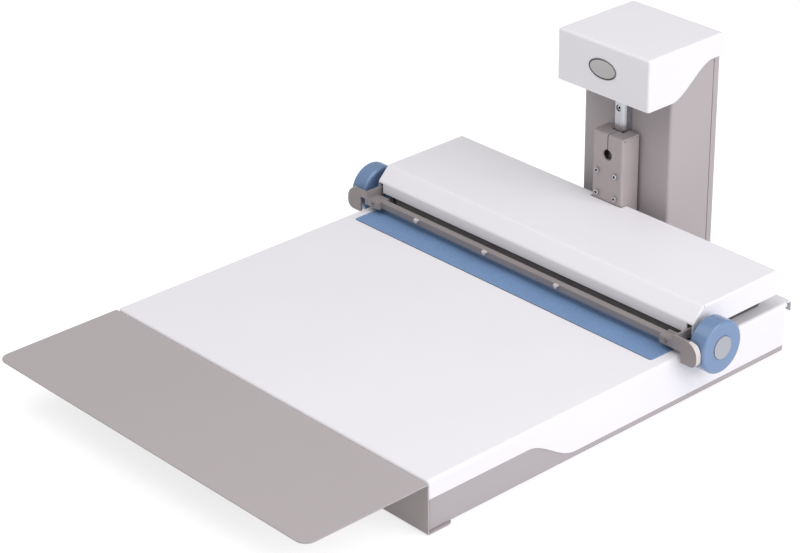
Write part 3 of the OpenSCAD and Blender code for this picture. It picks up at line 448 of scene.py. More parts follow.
def edge_wear_and_highlight_group():
    """Edges made lighter, partly as wear from handling and partly as a painted highlight: the mask is broken
    up by a fine noise.
    """
    tree, takes, gives = new_group("edge_wear_and_highlight", "Vector Reach Amount Break", "Mask")
    bent = node(tree, "Bevel", {"Radius": takes["Reach"]}, samples=4)
    flat = node(tree, "NewGeometry")
    dot = node(tree, "VectorMath", {0: bent.outputs["Normal"], 1: flat.outputs["True Normal"]},
               operation="DOT_PRODUCT")
    edge = spread(tree, dot.outputs["Value"], 0.995, 0.9)
    broken = spread(tree, noise(tree, takes["Vector"], takes["Break"], 2.0)["Fac"], 0.35, 0.65)
    worn_and_lit = maths(tree, "MULTIPLY", edge, broken)
    tree.links.new(maths(tree, "MULTIPLY", worn_and_lit, takes["Amount"], clamp=True), gives["Mask"])
    return tree


def hairline_group():
    """A few thin scratches, far apart."""
    tree, takes, gives = new_group("hairlines", "Vector Size Width", "Mask")
    bent = noise(tree, takes["Vector"], 6.0, 1.0)["Color"]
    shifted = node(tree, "VectorMath", {0: takes["Vector"], 1: bent, 2: (0.02, 0.02, 0.02)},
                   operation="MULTIPLY_ADD")
    cells = node(tree, "TexVoronoi", {"Vector": shifted.outputs[0], "Scale": takes["Size"]},
                 feature="DISTANCE_TO_EDGE")
    line = maths(tree, "LESS_THAN", cells.outputs["Distance"], takes["Width"])
    few = spread(tree, noise(tree, takes["Vector"], 21.0, 0.0)["Fac"], 0.6, 0.68)
    tree.links.new(maths(tree, "MULTIPLY", line, few), gives["Mask"])
    return tree


TONE_DRIFT = tone_drift_group()
COAT_PEEL = coat_peel_group()
GRIND_LINES = grind_lines_group()
EDGE_WEAR_AND_HIGHLIGHT = edge_wear_and_highlight_group()
HAIRLINES = hairline_group()


def use(tree, group, **values):
    """Places a shared effect in a material."""
    return node(tree, "Group", values, node_tree=group).outputs


def new_finish(name, **settings):
    """A material with its Principled shader's plain values set; the caller adds what changes over it."""
    finish = bpy.data.materials.new(name)
    finish.use_nodes = True
    tree = finish.node_tree
    shader = tree.nodes["Principled BSDF"]
    for label, value in settings.items():
        shader.inputs[label.replace("_", " ")].default_value = value
    places = tree.nodes.new("ShaderNodeTexCoord").outputs["Object"]
    return finish, tree, shader.inputs, places


def blend_colours(tree, mask, first, second):
    """The first colour where the mask is 0, the second where it is 1."""
    return node(tree, "Mix", {0: mask, 6: first, 7: second}, data_type="RGBA").outputs[2]


def shade(red, green, blue):
    """A linear colour from the 0 to 255 values it shows as."""
    def linear(value):
        value /= 255
        return value / 12.92 if value <= 0.04045 else ((value + 0.055) / 1.055) ** 2.4
    return (linear(red), linear(green), linear(blue), 1)


def scaled(colour, factor, lift=0.0):
    """The colour made brighter or darker."""
    return tuple(min(1, part * factor + lift) for part in colour[:3]) + (1,)


def coloured(tree, shader, colour, roughness, height, depth, strength):
    """Wires what changes over a finish: its colour, its roughness and its bumps."""
    bumps = node(tree, "Bump", {"Height": height, "Strength": strength, "Distance": depth})
    tree.links.new(colour, shader["Base Color"])
    tree.links.new(roughness, shader["Roughness"])
    tree.links.new(bumps.outputs["Normal"], shader["Normal"])


# ---- Finishes ----

def powder_coat(name, colour, roughness=0.42, drift=0.02, scratches=0.0):
    finish, tree, shader, places = new_finish(name, IOR=1.5, Specular_IOR_Level=0.4)
    tone = use(tree, TONE_DRIFT, Vector=places, Colour=colour, Patch=7.0, Amount=drift)["Colour"]
    coat = use(tree, COAT_PEEL, Vector=places, Size=800.0, Roughness=roughness, Swing=0.1)
    if scratches:
        lines = use(tree, HAIRLINES, Vector=places, Size=9.0, Width=0.0025)["Mask"]
        tone = blend_colours(tree, maths(tree, "MULTIPLY", lines, scratches), tone, scaled(colour, 1.5))
    coloured(tree, shader, tone, coat["Roughness"], coat["Height"], 0.00003, 0.6)
    return finish


def ground_metal(name, colour, lines, size=60.0, roughness=0.3):
    finish, tree, shader, places = new_finish(name, Metallic=1.0, IOR=1.5)
    along = node(tree, "Mapping", {"Vector": places, "Scale": lines}).outputs[0]
    grind = use(tree, GRIND_LINES, Vector=along, Size=size, Roughness=roughness, Swing=0.16)
    # The edges are made lighter, partly as wear and partly as a painted highlight.
    wear_and_highlight_mask = use(tree, EDGE_WEAR_AND_HIGHLIGHT, Vector=places, Reach=0.0004, Amount=0.5, Break=300.0)["Mask"]
    ground = blend_colours(tree, grind["Mask"], scaled(colour, 0.82), colour)
    coloured(tree, shader, blend_colours(tree, wear_and_highlight_mask, ground, scaled(colour, 1.25)),
             grind["Roughness"], grind["Height"], 0.00001, 0.5)
    return finish


def blasted_aluminium(name, colour, metallic):
    finish, tree, shader, places = new_finish(name, Metallic=metallic, IOR=1.5)
    tone = use(tree, TONE_DRIFT, Vector=places, Colour=colour, Patch=22.0, Amount=0.06)["Colour"]
    coat = use(tree, COAT_PEEL, Vector=places, Size=2600.0, Roughness=0.55, Swing=0.14)
    # The edges are made lighter, partly as wear and partly as a painted highlight.
    wear_and_highlight_mask = use(tree, EDGE_WEAR_AND_HIGHLIGHT, Vector=places, Reach=0.0005, Amount=0.35, Break=420.0)["Mask"]
    coloured(tree, shader, blend_colours(tree, wear_and_highlight_mask, tone, scaled(colour, 1.45)),
             coat["Roughness"], coat["Height"], 0.00003, 0.6)
    return finish


def moulded_plastic(name, colour, roughness):
    finish, tree, shader, places = new_finish(name, IOR=1.49, Specular_IOR_Level=0.5)
    tone = use(tree, TONE_DRIFT, Vector=places, Colour=colour, Patch=30.0, Amount=0.03)["Colour"]
    coat = use(tree, COAT_PEEL, Vector=places, Size=1500.0, Roughness=roughness, Swing=0.08)
    # The edges are made lighter, partly as wear and partly as a painted highlight.
    wear_and_highlight_mask = use(tree, EDGE_WEAR_AND_HIGHLIGHT, Vector=places, Reach=0.0006, Amount=0.25, Break=260.0)["Mask"]
    coloured(tree, shader, blend_colours(tree, wear_and_highlight_mask, tone, scaled(colour, 1.35, 0.03)),
             coat["Roughness"], coat["Height"], 0.000012, 0.5)
    return finish


def pebbled_mat(name, colour):
    """A thin mat with a fine pebbled face; the hollows between the pebbles are darker, as painted shade."""
    finish, tree, shader, places = new_finish(name, IOR=1.45, Specular_IOR_Level=0.35)
    tone = use(tree, TONE_DRIFT, Vector=places, Colour=colour, Patch=26.0, Amount=0.06)["Colour"]
    cells = node(tree, "TexVoronoi", {"Vector": places, "Scale": 900.0}, feature="SMOOTH_F1")
    pebble = spread(tree, cells.outputs["Distance"], 0.1, 0.75, 1.0, 0.0)
    # Painted shade: the hollows between the pebbles take a darker copy of the colour.
    hollow_shade = use(tree, TONE_DRIFT, Vector=places, Colour=scaled(colour, 0.8), Patch=26.0,
               Amount=0.06)["Colour"]
    coat = use(tree, COAT_PEEL, Vector=places, Size=2100.0, Roughness=0.5, Swing=0.12)
    height = maths(tree, "ADD", maths(tree, "MULTIPLY", pebble, 0.8),
                   maths(tree, "MULTIPLY", coat["Height"], 0.2))
    coloured(tree, shader, blend_colours(tree, pebble, hollow_shade, tone), coat["Roughness"], height, 0.00012, 0.7)
    return finish


def soft_rubber(name, colour):
    finish, tree, shader, places = new_finish(name, IOR=1.5, Specular_IOR_Level=0.3)
    tone = use(tree, TONE_DRIFT, Vector=places, Colour=colour, Patch=40.0, Amount=0.2)["Colour"]
    coat = use(tree, COAT_PEEL, Vector=places, Size=1800.0, Roughness=0.72, Swing=0.14)
    coloured(tree, shader, tone, coat["Roughness"], coat["Height"], 0.00004, 0.7)
    return finish


WHITE_COAT = powder_coat("white_powder_coat", shade(230, 228, 232), roughness=0.4)
LEAF_COAT = powder_coat("leaf_grey_powder_coat", shade(173, 166, 167), roughness=0.5, scratches=0.12)
CHASSIS_COAT = powder_coat("chassis_grey_powder_coat", shade(168, 162, 164), roughness=0.5)
COLUMN_COAT = powder_coat("column_grey_powder_coat", shade(171, 164, 165), roughness=0.5)
BRACKET_FINISH = blasted_aluminium("bracket_anodised_grey", shade(173, 164, 164), metallic=0.2)
BAR_FINISH = blasted_aluminium("bar_anodised_grey", shade(146, 139, 139), metallic=0.3)
# Light aluminium for the register fingers, also put on the levers' outer rims as a painted highlight.
FINGER_FINISH_AND_RIM_HIGHLIGHT = blasted_aluminium("finger_and_rim_highlight", shade(206, 200, 198), metallic=0.3)
PLATE_FINISH = ground_metal("plate_satin", shade(178, 176, 176), lines=(1, 40, 40), roughness=0.34)
# Painted shade for gaps and grooves, made with the rubber finish.
PAINTED_SHADE_LINE = soft_rubber("painted_shade_line", shade(70, 70, 74))
# Painted shade for the insides of the screws' sockets, made with the rubber finish.
SOCKET_PAINTED_SHADE = soft_rubber("socket_painted_shade", shade(44, 42, 42))
FRAME_COAT = powder_coat("frame_dark_coat", shade(84, 80, 78), roughness=0.5, drift=0.05)
RAIL_STEEL = ground_metal("rail_ground_steel", shade(205, 206, 210), lines=(60, 60, 1), roughness=0.24)
ZINC_STEEL = ground_metal("zinc_plated_steel", shade(205, 207, 212), lines=(1, 1, 1), size=900.0,
                          roughness=0.28)
SHAFT_STEEL = ground_metal("shaft_turned_steel", shade(205, 206, 210), lines=(60, 2, 2), roughness=0.22)
BLACK_RUBBER = soft_rubber("black_rubber", shade(46, 46, 48))
ROLLER_RUBBER = soft_rubber("roller_grey_rubber", shade(122, 112, 106))
KNOB_PLASTIC = moulded_plastic("knob_blue_plastic", shade(110, 135, 171), roughness=0.17)
CAP_PLASTIC = moulded_plastic("cap_grey_plastic", shade(160, 162, 170), roughness=0.4)
MAT_BLUE = pebbled_mat("mat_pebbled_blue", shade(120, 149, 190))
SINTERED_BRONZE = ground_metal("sintered_bronze", shade(190, 150, 90), lines=(1, 1, 1), size=700.0,
                               roughness=0.42)


# ---- Sheet pieces ----

def ease(t):
    return t * t * (3 - 2 * t)


def folded_sheet(name, along, path, folds):
    """Draws a sheet's first leaf, pulls it along a path of bench points, and rounds its folds.

    The leaf is as long as `along`, and faces along x path; `folds` gives the radius at each inner point.
    """
    along = Vector(along)
    points = [Vector(p) for p in path]
    piece = start_leaf(name, points[0], along, points[1] - points[0])

    def fold_line(point):
        ends = (point, point + along)
        return placed(**{axis: tuple(sorted(getattr(end, axis) for end in ends)) for axis in "xyz"})

    with editing(piece):
        for here, there in zip(points[1:], points[2:]):
            pick("EDGE", fold_line(here))
            pull_edge(*(there - here))
        for index, radius in folds.items():
            here = points[index]
            turn = (here - points[index - 1]).angle(points[index + 1] - here)
            pick("EDGE", fold_line(here), running(*along))
            fold(radius * math.tan(turn / 2), steps=max(2, round(math.degrees(turn) / 15)))
    return piece


def make_table_sheet():
    low, high = span("table_top")
    rear, lip_drop, lip_end, bend, sheet = 488, 12, 224, 3, 1.5
    skirt_rear, skirt_high, chamfer = 485.5, 37, 3
    step_from, step_long, stations = 125, 62, 16
    notch, web_top = 64, high.z - bend - sheet
    first = 1.5                          # the lip's first short pull, which keeps its corner clean
    piece = start_box("table_sheet", low, (high.x, rear, high.z))

    def on_side(side):
        return lambda edge: bench(edge.verts[0].co).x * side > 0

    with editing(piece):
        take_faces(lambda face: face.normal.z < -0.9 or face.normal.y > 0.9, "FACE")
        pick("EDGE", lambda edge: not placed(z=low.z)(edge) and not placed(y=rear)(edge))
        fold(bend, 6)
        for x in (-notch, notch):
            pick_all()
            slice_at("x", x)
        curve = [step_from + step_long * i / stations for i in range(stations + 1)]
        for y in curve + [skirt_rear - chamfer, skirt_rear]:
            pick("FACE", sideways)
            slice_at("y", y)
        pick("FACE", sideways, placed(y=(skirt_rear, rear)))
        slice_at("z", web_top)
        take_faces(placed(y=(skirt_rear, rear), z=(low.z, web_top)), "FACE")
        pick("VERT", placed(y=(0, bend), z=low.z))
        move(z=skirt_high - low.z)
        for y in curve[:-1]:
            pick("VERT", placed(y=y, z=low.z))
            move(z=(skirt_high - low.z) * (1 - ease((y - step_from) / step_long)))
        pick("VERT", placed(y=skirt_rear, z=low.z))
        move(z=chamfer)
        for side in (-1, 1):
            ends = tuple(sorted((side * notch, side * (high.x - bend))))
            pick("EDGE", placed(y=rear, z=high.z, x=ends))
            pull_edge(y=first)
            pick("VERT", placed(y=rear + first, x=side * (high.x - bend)))
            move(x=side * (lip_end - high.x + bend))
            pick("EDGE", placed(y=rear + first, z=high.z), on_side(side))
            pull_edge(y=high.y - rear - first)
            pick("EDGE", placed(y=high.y, z=high.z), on_side(side))
            pull_edge(z=-lip_drop)
        pick("EDGE", placed(y=high.y, z=high.z))
        fold(bend, 6)
    thicken(piece, sheet)
    dress(piece, "base", WHITE_COAT, "table_top")


def make_work_mat():
    low, high = span("work_pad")
    piece = start_box("work_mat", low, high)
    with editing(piece):
        pick("EDGE", running(0, 0, 1))
        fold(3, 6)
        pick("EDGE", placed(z=high.z))
        fold(0.25, 2)
    dress(piece, "base", MAT_BLUE, "work_pad", edge=0)
    # Painted shade: the mat's front edge faces get a dark line, for the shadow along its front.
    second_finish(piece, PAINTED_SHADE_LINE, lambda spot, normal: normal.y < -0.9)


def leaf_screw_holes(low, high):
    return [start_rod("hole", (x, LEAF_SCREWS_Y, low), (x, LEAF_SCREWS_Y, high), LEAF_HOLE_R, 32)
            for x in LEAF_SCREWS_X]


def make_leaf_sheet():
    low, high = span("extension_leaf")
    sheet, outer, inner, corner, foot_corner = 1.5, 1.6, 0.3, 12, 6
    piece = folded_sheet("leaf_sheet", (high.x - low.x, 0, 0),
                         [(low.x, low.y, high.z), (low.x, 0, high.z), (low.x, 0, low.z + sheet),
                          (low.x, high.y, low.z + sheet)], {1: outer, 2: inner})
    with editing(piece):
        pick("VERT", placed(y=low.y))
        fold(corner, 8, "VERTICES")
        pick("VERT", placed(y=high.y))
        fold(foot_corner, 6, "VERTICES")
    thicken(piece, sheet)
    cut_away(piece, joined(leaf_screw_holes(-1, 5)))
    dress(piece, "base", LEAF_COAT, "extension_leaf")


def make_chassis_shell():
    low, high = span("chassis_tray")
    piece = start_box("chassis_shell", low, high)
    with editing(piece):
        take_faces(facing(0, 0, 1))
        pick("EDGE", running(0, 0, 1))
        fold(3, 5)
        pick("EDGE", placed(z=low.z))
        fold(1.5, 3)
    thicken(piece, 1.5)
    rear_holes = [rod_back("hole", x, z, 484, 491, 3.05) for x in (-40, 40) for z in (16, 42.5)]
    cut_away(piece, joined(leaf_screw_holes(1, 8) + rear_holes))
    dress(piece, "base", CHASSIS_COAT, "chassis_tray")


def make_column_skins():
    low, high = span("column_shell")
    sheet, bend, gap = 2, 3, 0.8
    skin = folded_sheet("column_skin", (0, 0, high.z - low.z),
                        [(high.x, high.y, low.z), (high.x, low.y, low.z), (low.x, low.y, low.z),
                         (low.x, high.y, low.z)], {1: bend, 2: bend})
    thicken(skin, sheet)
    back_low, back_high = span("column_rear_cover")
    back = folded_sheet("column_back_panel", (0, 0, high.z - low.z),
                        [(low.x, back_low.y + gap, low.z), (low.x, back_high.y, low.z),
                         (high.x, back_high.y, low.z), (high.x, back_low.y + gap, low.z)],
                        {1: bend, 2: bend})
    thicken(back, sheet)
    dress(skin, "base", COLUMN_COAT, "column_shell")
    dress(back, "base", COLUMN_COAT, "column_rear_cover")


def make_cover_shell():
    low, high = span("head_cover")
    rear_z, bend, sheet = 252.5, 3, 1.5
    curve_from, curve_to, stations = 490, 545, 16
    piece = start_box("cover_shell", low, high)
    with editing(piece):
        take_faces(facing(0, 0, -1))
        pick("EDGE", lambda edge: not placed(z=low.z)(edge))
        fold(bend, 6)
        for i in range(stations + 1):
            pick("FACE", sideways)
            slice_at("y", curve_from + (curve_to - curve_from) * i / stations)
        rims = sorted({round(bench(v.co).y, 3) for v in bmesh.from_edit_mesh(piece.data).verts
                       if abs(bench(v.co).z - low.z) < SLACK and bench(v.co).y > curve_from + 1})
        for y in rims:
            t = min(1, (y - curve_from) / (curve_to - curve_from))
            pick("VERT", placed(y=y, z=low.z))
            move(z=(rear_z - low.z) * (0.75 * ease(t) + 0.25 * t))
    thicken(piece, sheet)
    dress(piece, "base", WHITE_COAT, "head_cover")


def make_hood_shell():
    low, high = span("hood")
    sheet, bend, lip_z, slope, slot_top = 1.5, 1.9, 84, 16, 82.6
    piece = start_box("hood_shell", low, high)
    way = Vector((0, -(high.z - lip_z), slope))
    with editing(piece):
        pick_all()
        bpy.ops.mesh.bisect(plane_co=at(0, low.y, lip_z), plane_no=way, use_fill=True, clear_outer=True)
        take_faces(facing(0, 0, -1))
        pick("EDGE", lambda edge: not placed(z=low.z)(edge))
        fold(bend, 4)
    thicken(piece, sheet)
    inside = high.x - sheet
    bracket_low, bracket_high = span("slide_bracket")
    gap, rear_lip, slot_x, slot_half = 1, 16, 219.25, 3.25
    relief_x, relief_r, relief_deep = 223.4, 0.8, 2.6
    slots = [start_box("slot", (side * slot_x - slot_half, low.y - 1, low.z - 1),
                       (side * slot_x + slot_half, low.y + slope, slot_top)) for side in (-1, 1)]
    slots += [start_rod("corner_relief", (side * relief_x, low.y + slope, high.z - relief_deep),
                        (side * relief_x, low.y + slope, high.z + 1), relief_r, 20, 0.1)
              for side in (-1, 1)]
    cut_away(piece,
             start_box("rear_opening", (-inside, high.y - sheet - 1, low.z - 1),
                       (inside, high.y + 1, high.z - rear_lip)),
             start_box("notch", (bracket_low.x - gap, bracket_low.y - gap, low.z - 1),
                       (bracket_high.x + gap, high.y + 1, high.z + 1)),
             *slots)
    dress(piece, "head", WHITE_COAT, "hood")


def make_slide_bracket():
    low, high = span("slide_bracket")
    sheet, bend, seam = 2, 3, 0.4
    piece = start_box("slide_bracket_sheet", low, high)
    with editing(piece):
        take_faces(lambda face: face.normal.z < -0.9 or face.normal.y > 0.9)
        pick("EDGE", lambda edge: placed(y=low.y)(edge) and not placed(z=low.z)(edge))
        fold(bend, 5)
    thicken(piece, sheet)
    side_top = high.z - sheet - seam
    relief = low.y + bend
    bore_z, bore_r, slot_half, rail_half, rail_y = high.z - 23, 6, 0.6, 8.3, 477.2
    bolt_z, bolt_r = 80, 2.5
    seam_x, seam_half, relief_from, relief_to, relief_r = 20.5, 2, 17, 23, 0.87
    bolts = [rod_back("bolt_hole", x, bolt_z, low.y - 1, low.y + 4, bolt_r) for x in (-12, 12)]
    cut_away(piece, joined(bolts),
             rod_back("keyhole", 0, bore_z, low.y - 1, low.y + sheet + 1, bore_r, 64),
             start_box("slot", (-slot_half, low.y - 1, bore_z), (slot_half, rail_y + 1, high.z + 1)),
             start_box("rail_gap", (-rail_half, rail_y, side_top), (rail_half, high.y + 1, high.z + 1)))
    break_edges(piece, 0.25)
    seams = [start_box("seam", (side * seam_x - seam_half, relief, side_top),
                       (side * seam_x + seam_half, high.y + 1, side_top + seam)) for side in (-1, 1)]
    reliefs = [start_rod("relief", (side * relief_from, relief, side_top),
                         (side * relief_to, relief, side_top), relief_r, 22, 0.07) for side in (-1, 1)]
    cut_away(piece, *seams, *reliefs)
    dress(piece, "head", BRACKET_FINISH, "slide_bracket", edge=0)


# ---- Turned, milled and moulded pieces ----

def make_rail():
    low, high = span("linear_rail")
    base_half, waist_half, shoulder_half, face_half = 7.5, 6.0, 6.8, 4.5
    waist_y, taper, waist_flat, slope = low.y + 3.2, 0.8, 0.6, shoulder_half - face_half
    piece = start_box("guide_rail", (-base_half, waist_y + taper, low.z), (base_half, high.y, high.z))
    middle = (0, waist_y, (low.z + high.z) / 2)
    with editing(piece):
        pick("FACE", facing(0, -1, 0))
        for depth, half, was in ((taper, waist_half, base_half), (waist_flat, waist_half, waist_half),
                                 (waist_y - waist_flat - low.y - slope, shoulder_half, waist_half),
                                 (slope, face_half, shoulder_half)):
            pull_face(y=-depth)
            shrink(middle, x=half / was)
    bores = [rod_back("bore", 0, z, low.y - 1, low.y + 5, 3.5, 40) for z in RAIL_SCREWS_Z]
    cut_away(piece, joined(bores))
    dress(piece, "base", RAIL_STEEL, "linear_rail", edge=0.2)


def make_knob(side):
    cad_node = f"knob_{hand(side)}"
    axis = axis_of(cad_node)
    inner, outer, hub_end, screw_x, screw_from, screw_to = 231.5, 251, 226, 228.75, 4, 10
    radius, rim, recess, hub, cap, cap_deep = 27.5, 4, 3, 8, 12.2, 2
    piece = rod_across(cad_node + "_grip", axis, side * inner, side * outer, radius, 96)
    with editing(piece):
        pick("FACE", facing(side, 0, 0))
        inset(radius - cap)
        pull_face(x=-side * cap_deep)
        pick("FACE", facing(-side, 0, 0))
        inset(rim)
        pull_face(x=side * recess)
        inset(radius - rim - hub)
        pull_face(x=-side * (recess + inner - hub_end))
        pick("EDGE", placed(x=side * outer), ringed(axis, radius))
        fold(2.5, 6)
        pick("EDGE", placed(x=side * inner), ringed(axis, radius))
        fold(2, 4)
    cut_away(piece, start_rod("set_screw_hole", (side * screw_x, axis[0], axis[1] + screw_from),
                              (side * screw_x, axis[0], axis[1] + screw_to), 1.5, 24))
    dress(piece, "roller", KNOB_PLASTIC, cad_node, steps=3)


def make_cap(side):
    cad_node = f"knob_cap_{hand(side)}"
    outer, thick, radius, stem_r = 252, 3, 11.9, 4
    piece = rod_across(f"cap_{hand(side)}_disc", axis_of(cad_node), side * (outer - thick), side * outer,
                       radius, 72)
    with editing(piece):
        pick("FACE", facing(side, 0, 0))
        inset(1.1)
        inset(0.5, -0.12)
        inset(4)
        inset(4)
        pick("FACE", facing(-side, 0, 0))
        inset(radius - stem_r)
        pull_face(x=-side * 2)
    dress(piece, "roller", CAP_PLASTIC, cad_node, steps=3)


def make_gauge_bar():
    low, high = span("gauge_bar")
    piece = start_box("gauge_bar_rail", low, high)
    with editing(piece):
        pick("EDGE", running(1, 0, 0))
        fold(1, 4)
    bores = [rod_back("bore", x, BAR_SCREWS_Z, low.y - 1, high.y + 1, 1.9) for x in BAR_SCREWS_X]
    cut_away(piece, joined(bores))
    dress(piece, "gauge", BAR_FINISH, "gauge_bar", edge=0.25)


def make_lever(side):
    """A finger lever, shaped at the right; the left one is mirrored, with its neck notched by the bar."""
    bar_low, bar_high = span("gauge_bar")
    low, high = span("gauge_lever_right")
    arm_in, arm_out, plate_in, sheet = 218.5, 221, 228.5, 2.5
    rim_rear, rim_from, rim_full, tab, lug, notch = 332.3, 234, 244.5, 18.5, 3, 6.5
    arm_low, arm_high = 69.3, 78.6
    pivot_y, pivot_z, eye = 372.1, 76.6, 6.5
    neck_low = bar_low.z + (notch if side < 0 else 0)
    behind = low.y + sheet
    finger = start_box("lever_finger", (plate_in, low.y, low.z), (high.x, rim_rear, arm_high))
    with editing(finger):
        pick("FACE", facing(-1, 0, 0))
        slice_at("z", neck_low)
        pick("FACE", facing(-1, 0, 0), placed(z=(neck_low, arm_high)))
        pull_face(x=arm_in - plate_in)
        for x, z, radius, steps in ((high.x, arm_high, 14.5, 12), (high.x, low.z, 8, 8),
                                    (plate_in, low.z, 1.5, 3), (plate_in, neck_low, 1, 3)):
            pick("EDGE", placed(x=x, z=z))
            fold(radius, steps)
    pocket = start_box("pocket", (arm_in - 1, behind, low.z + sheet),
                       (high.x - sheet, rim_rear + 1, arm_high - sheet))
    with editing(pocket):
        for z, radius in ((arm_high - sheet, 12), (low.z + sheet, 5.5)):
            pick("EDGE", placed(x=high.x - sheet, z=z))
            fold(radius, 8)
    wedge = start_box("wedge", (rim_from, behind, low.z - 1), (rim_full, rim_rear + 1, arm_high + 1))
    with editing(wedge):
        pick("EDGE", placed(x=rim_full, y=behind))
        move(y=rim_rear - behind)
    cut_away(finger, pocket, start_box("neck_back", (arm_in - 1, behind, low.z - 1),
                                       (rim_from, rim_rear + 1, arm_high + 1)), wedge)
    arm = start_box("lever_arm", (arm_in, low.y, bar_low.z), (arm_out, bar_high.y + lug, arm_high))
    with editing(arm):
        pick("FACE", facing(0, 1, 0))
        slice_at("z", arm_low)
        pick("FACE", facing(0, 1, 0), placed(z=(arm_low, arm_high)))
        pull_face(y=pivot_y - bar_high.y - lug)
    front_tab = start_box("front_tab", (arm_in - tab, low.y + 0.5, bar_low.z),
                          (arm_in + 1, bar_low.y, bar_high.z))
    rear_lug = start_box("rear_lug", (arm_in - tab, bar_high.y, bar_low.z),
                         (arm_in + 1, bar_high.y + lug, bar_high.z))
    eye_disc = rod_across("lever_eye", (pivot_y, pivot_z), arm_in, arm_out, eye, 48)
    combine(finger, (arm, front_tab, rear_lug, eye_disc), "UNION")
    screw_x = arm_in - tab / 2
    cut_away(finger,
             rod_across("pivot_hole", (pivot_y, pivot_z), arm_in - 2, arm_out + 2, 4.05, 40),
             rod_back("screw_hole", screw_x, BAR_SCREWS_Z, low.y, bar_high.y + lug + 1, 1.9),
             rod_back("screw_seat", screw_x, BAR_SCREWS_Z, low.y, low.y + 3.1, 3))
    finger.name = "lever_right"
    piece = mirrored(finger, "lever_left") if side < 0 else finger
    dress(piece, "gauge", BAR_FINISH, f"gauge_lever_{hand(side)}", edge=0.35)

    # Painted highlight: the outer rim faces of the lever get the lighter finish.
    def on_rim(spot, normal):
        return side * spot.x > rim_from - 2 and side * normal.x > 0.3

    second_finish(piece, FINGER_FINISH_AND_RIM_HIGHLIGHT, on_rim)


def make_oval_plate():
    low, high = span("blank_oval_plate")
    middle = (0, low.y, (low.z + high.z) / 2)
    piece = rod_back("oval_badge_plate", 0, middle[2], high.y, low.y + 0.2, high.x, 72)
    with editing(piece):
        pick_all()
        shrink(middle, z=(high.z - low.z) / (high.x - low.x))
        pick("FACE", facing(0, -1, 0))
        inset(0.4)
        inset(1.3, -0.25)
        inset(0.2, 0.25)
    dress(piece, "base", PLATE_FINISH, "blank_oval_plate", edge=0)

    # Painted shade: the floor of the ring groove gets the dark finish.
    def in_groove(spot, normal):
        return abs(normal.y) > 0.9 and low.y + 0.3 < spot.y < high.y - 0.1

    second_finish(piece, PAINTED_SHADE_LINE, in_groove)


def screw_set(name, cad, body, finish, head, shank_r, key, spots, inside):
    """Socket screws at the (x, z) spots: head (radius, height), another finish inside the sockets, which is
    painted shade where it is a dark one.

    A screw's head is in front, with a hexagon socket in it, and its shank runs back.
    """
    low, high = span(cad)
    head_r, head_h = head
    screw = rod_back("screw", 0, 0, low.y + head_h, low.y, head_r, 40)
    with editing(screw):
        pick("FACE", facing(0, 1, 0))
        inset(head_r - shank_r)
        pull_face(y=high.y - low.y - head_h)
        pick("EDGE", placed(y=low.y))
        fold(head_r * 0.14, 3)
    cut_away(screw, rod_back("socket", 0, 0, low.y - 1, low.y + head_h * 0.55, key, 6))
    piece = repeated(name, screw, [(x, 0, z) for x, z in spots])
    dress(piece, body, finish, cad, edge=0)

    def in_socket(spot, normal):
        reach = min(math.hypot(spot.x - x, spot.z - z) for x, z in spots)
        return reach < key * 1.02 and low.y + 0.05 < spot.y < low.y + head_h

    second_finish(piece, inside, in_socket)


def make_socket_screws():
    middle_z, apart = axis_of("carriage_screws")[1], (-12.5, 12.5)
    # The steel screws get painted shade inside their sockets.
    screw_set("carriage_socket_screws", "carriage_screws", "head", ZINC_STEEL, (2.75, 3), 1.5, 1.55,
              [(x, middle_z + z) for x in apart for z in apart], SOCKET_PAINTED_SHADE)
    screw_set("rail_socket_screws", "rail_screws", "base", ZINC_STEEL, (3, 3.8), 1.75, 1.7,
              [(0, z) for z in RAIL_SCREWS_Z], SOCKET_PAINTED_SHADE)
    screw_set("stop_socket_screws", "stop_screws", "base", ZINC_STEEL, (3, 3), 1.75, 1.7,
              [(x, 252) for x in (-8, 8)], SOCKET_PAINTED_SHADE)
    screw_set("gauge_bar_socket_screws", "gauge_bar_screws", "gauge", BAR_FINISH, (2.85, 2.3), 1.75, 1.5,
              [(x, BAR_SCREWS_Z) for x in BAR_SCREWS_X], BAR_FINISH)


def make_pan_screws(name, cad, seat, shank_l, spots):
    """Low domed screws with a cross recess at the (x, z) spots; the shanks run in front of the seat."""
    radius, height, shank_r, slot_half, slot_reach = PAN_HEAD_R, 1.4, 2.25, 0.35, 1.7
    screw = rod_back("screw", 0, 0, seat, seat + height, radius, 40)
    with editing(screw):
        pick("EDGE", placed(y=seat + height))
        fold(height * 0.8, 5)
        pick("FACE", facing(0, -1, 0))
        inset(radius - shank_r)
        pull_face(y=-shank_l)
    cut_away(screw, *[start_box("slot", (-x, seat + height - 0.7, -z), (x, seat + height + 1, z))
                      for x, z in ((slot_reach, slot_half), (slot_half, slot_reach))])
    dress(repeated(name, screw, [(x, 0, z) for x, z in spots]),
          "base", ZINC_STEEL, cad, edge=0)


def make_cover_screws():
    make_pan_screws("cover_pan_screws", "head_cover_screws", 564.5, 1.5, [(x, 264.5) for x in (-40, 40)])
    low, high = span("rear_cover_screws")
    heights = (low.z + PAN_HEAD_R, (low.z + high.z) / 2, high.z - PAN_HEAD_R)
    make_pan_screws("back_pan_screws", "rear_cover_screws", 563, 6,
                    [(x, z) for x in (-51, 51) for z in heights])


def make_feet(name, cad_node, spots):
    top_r, sole_r = 9, 8
    foot = start_rod("foot", (0, 0, 0), (0, 0, 3), top_r, 48)
    with editing(foot):
        pick("FACE", facing(0, 0, -1))
        shrink((0, 0, 0), x=sole_r / top_r, y=sole_r / top_r)
        inset(2.2)
        inset(0.8, -0.5)
        inset(1.5)
    dress(repeated(name, foot, [(x, y, 0) for x, y in spots]),
          "base", BLACK_RUBBER, cad_node)


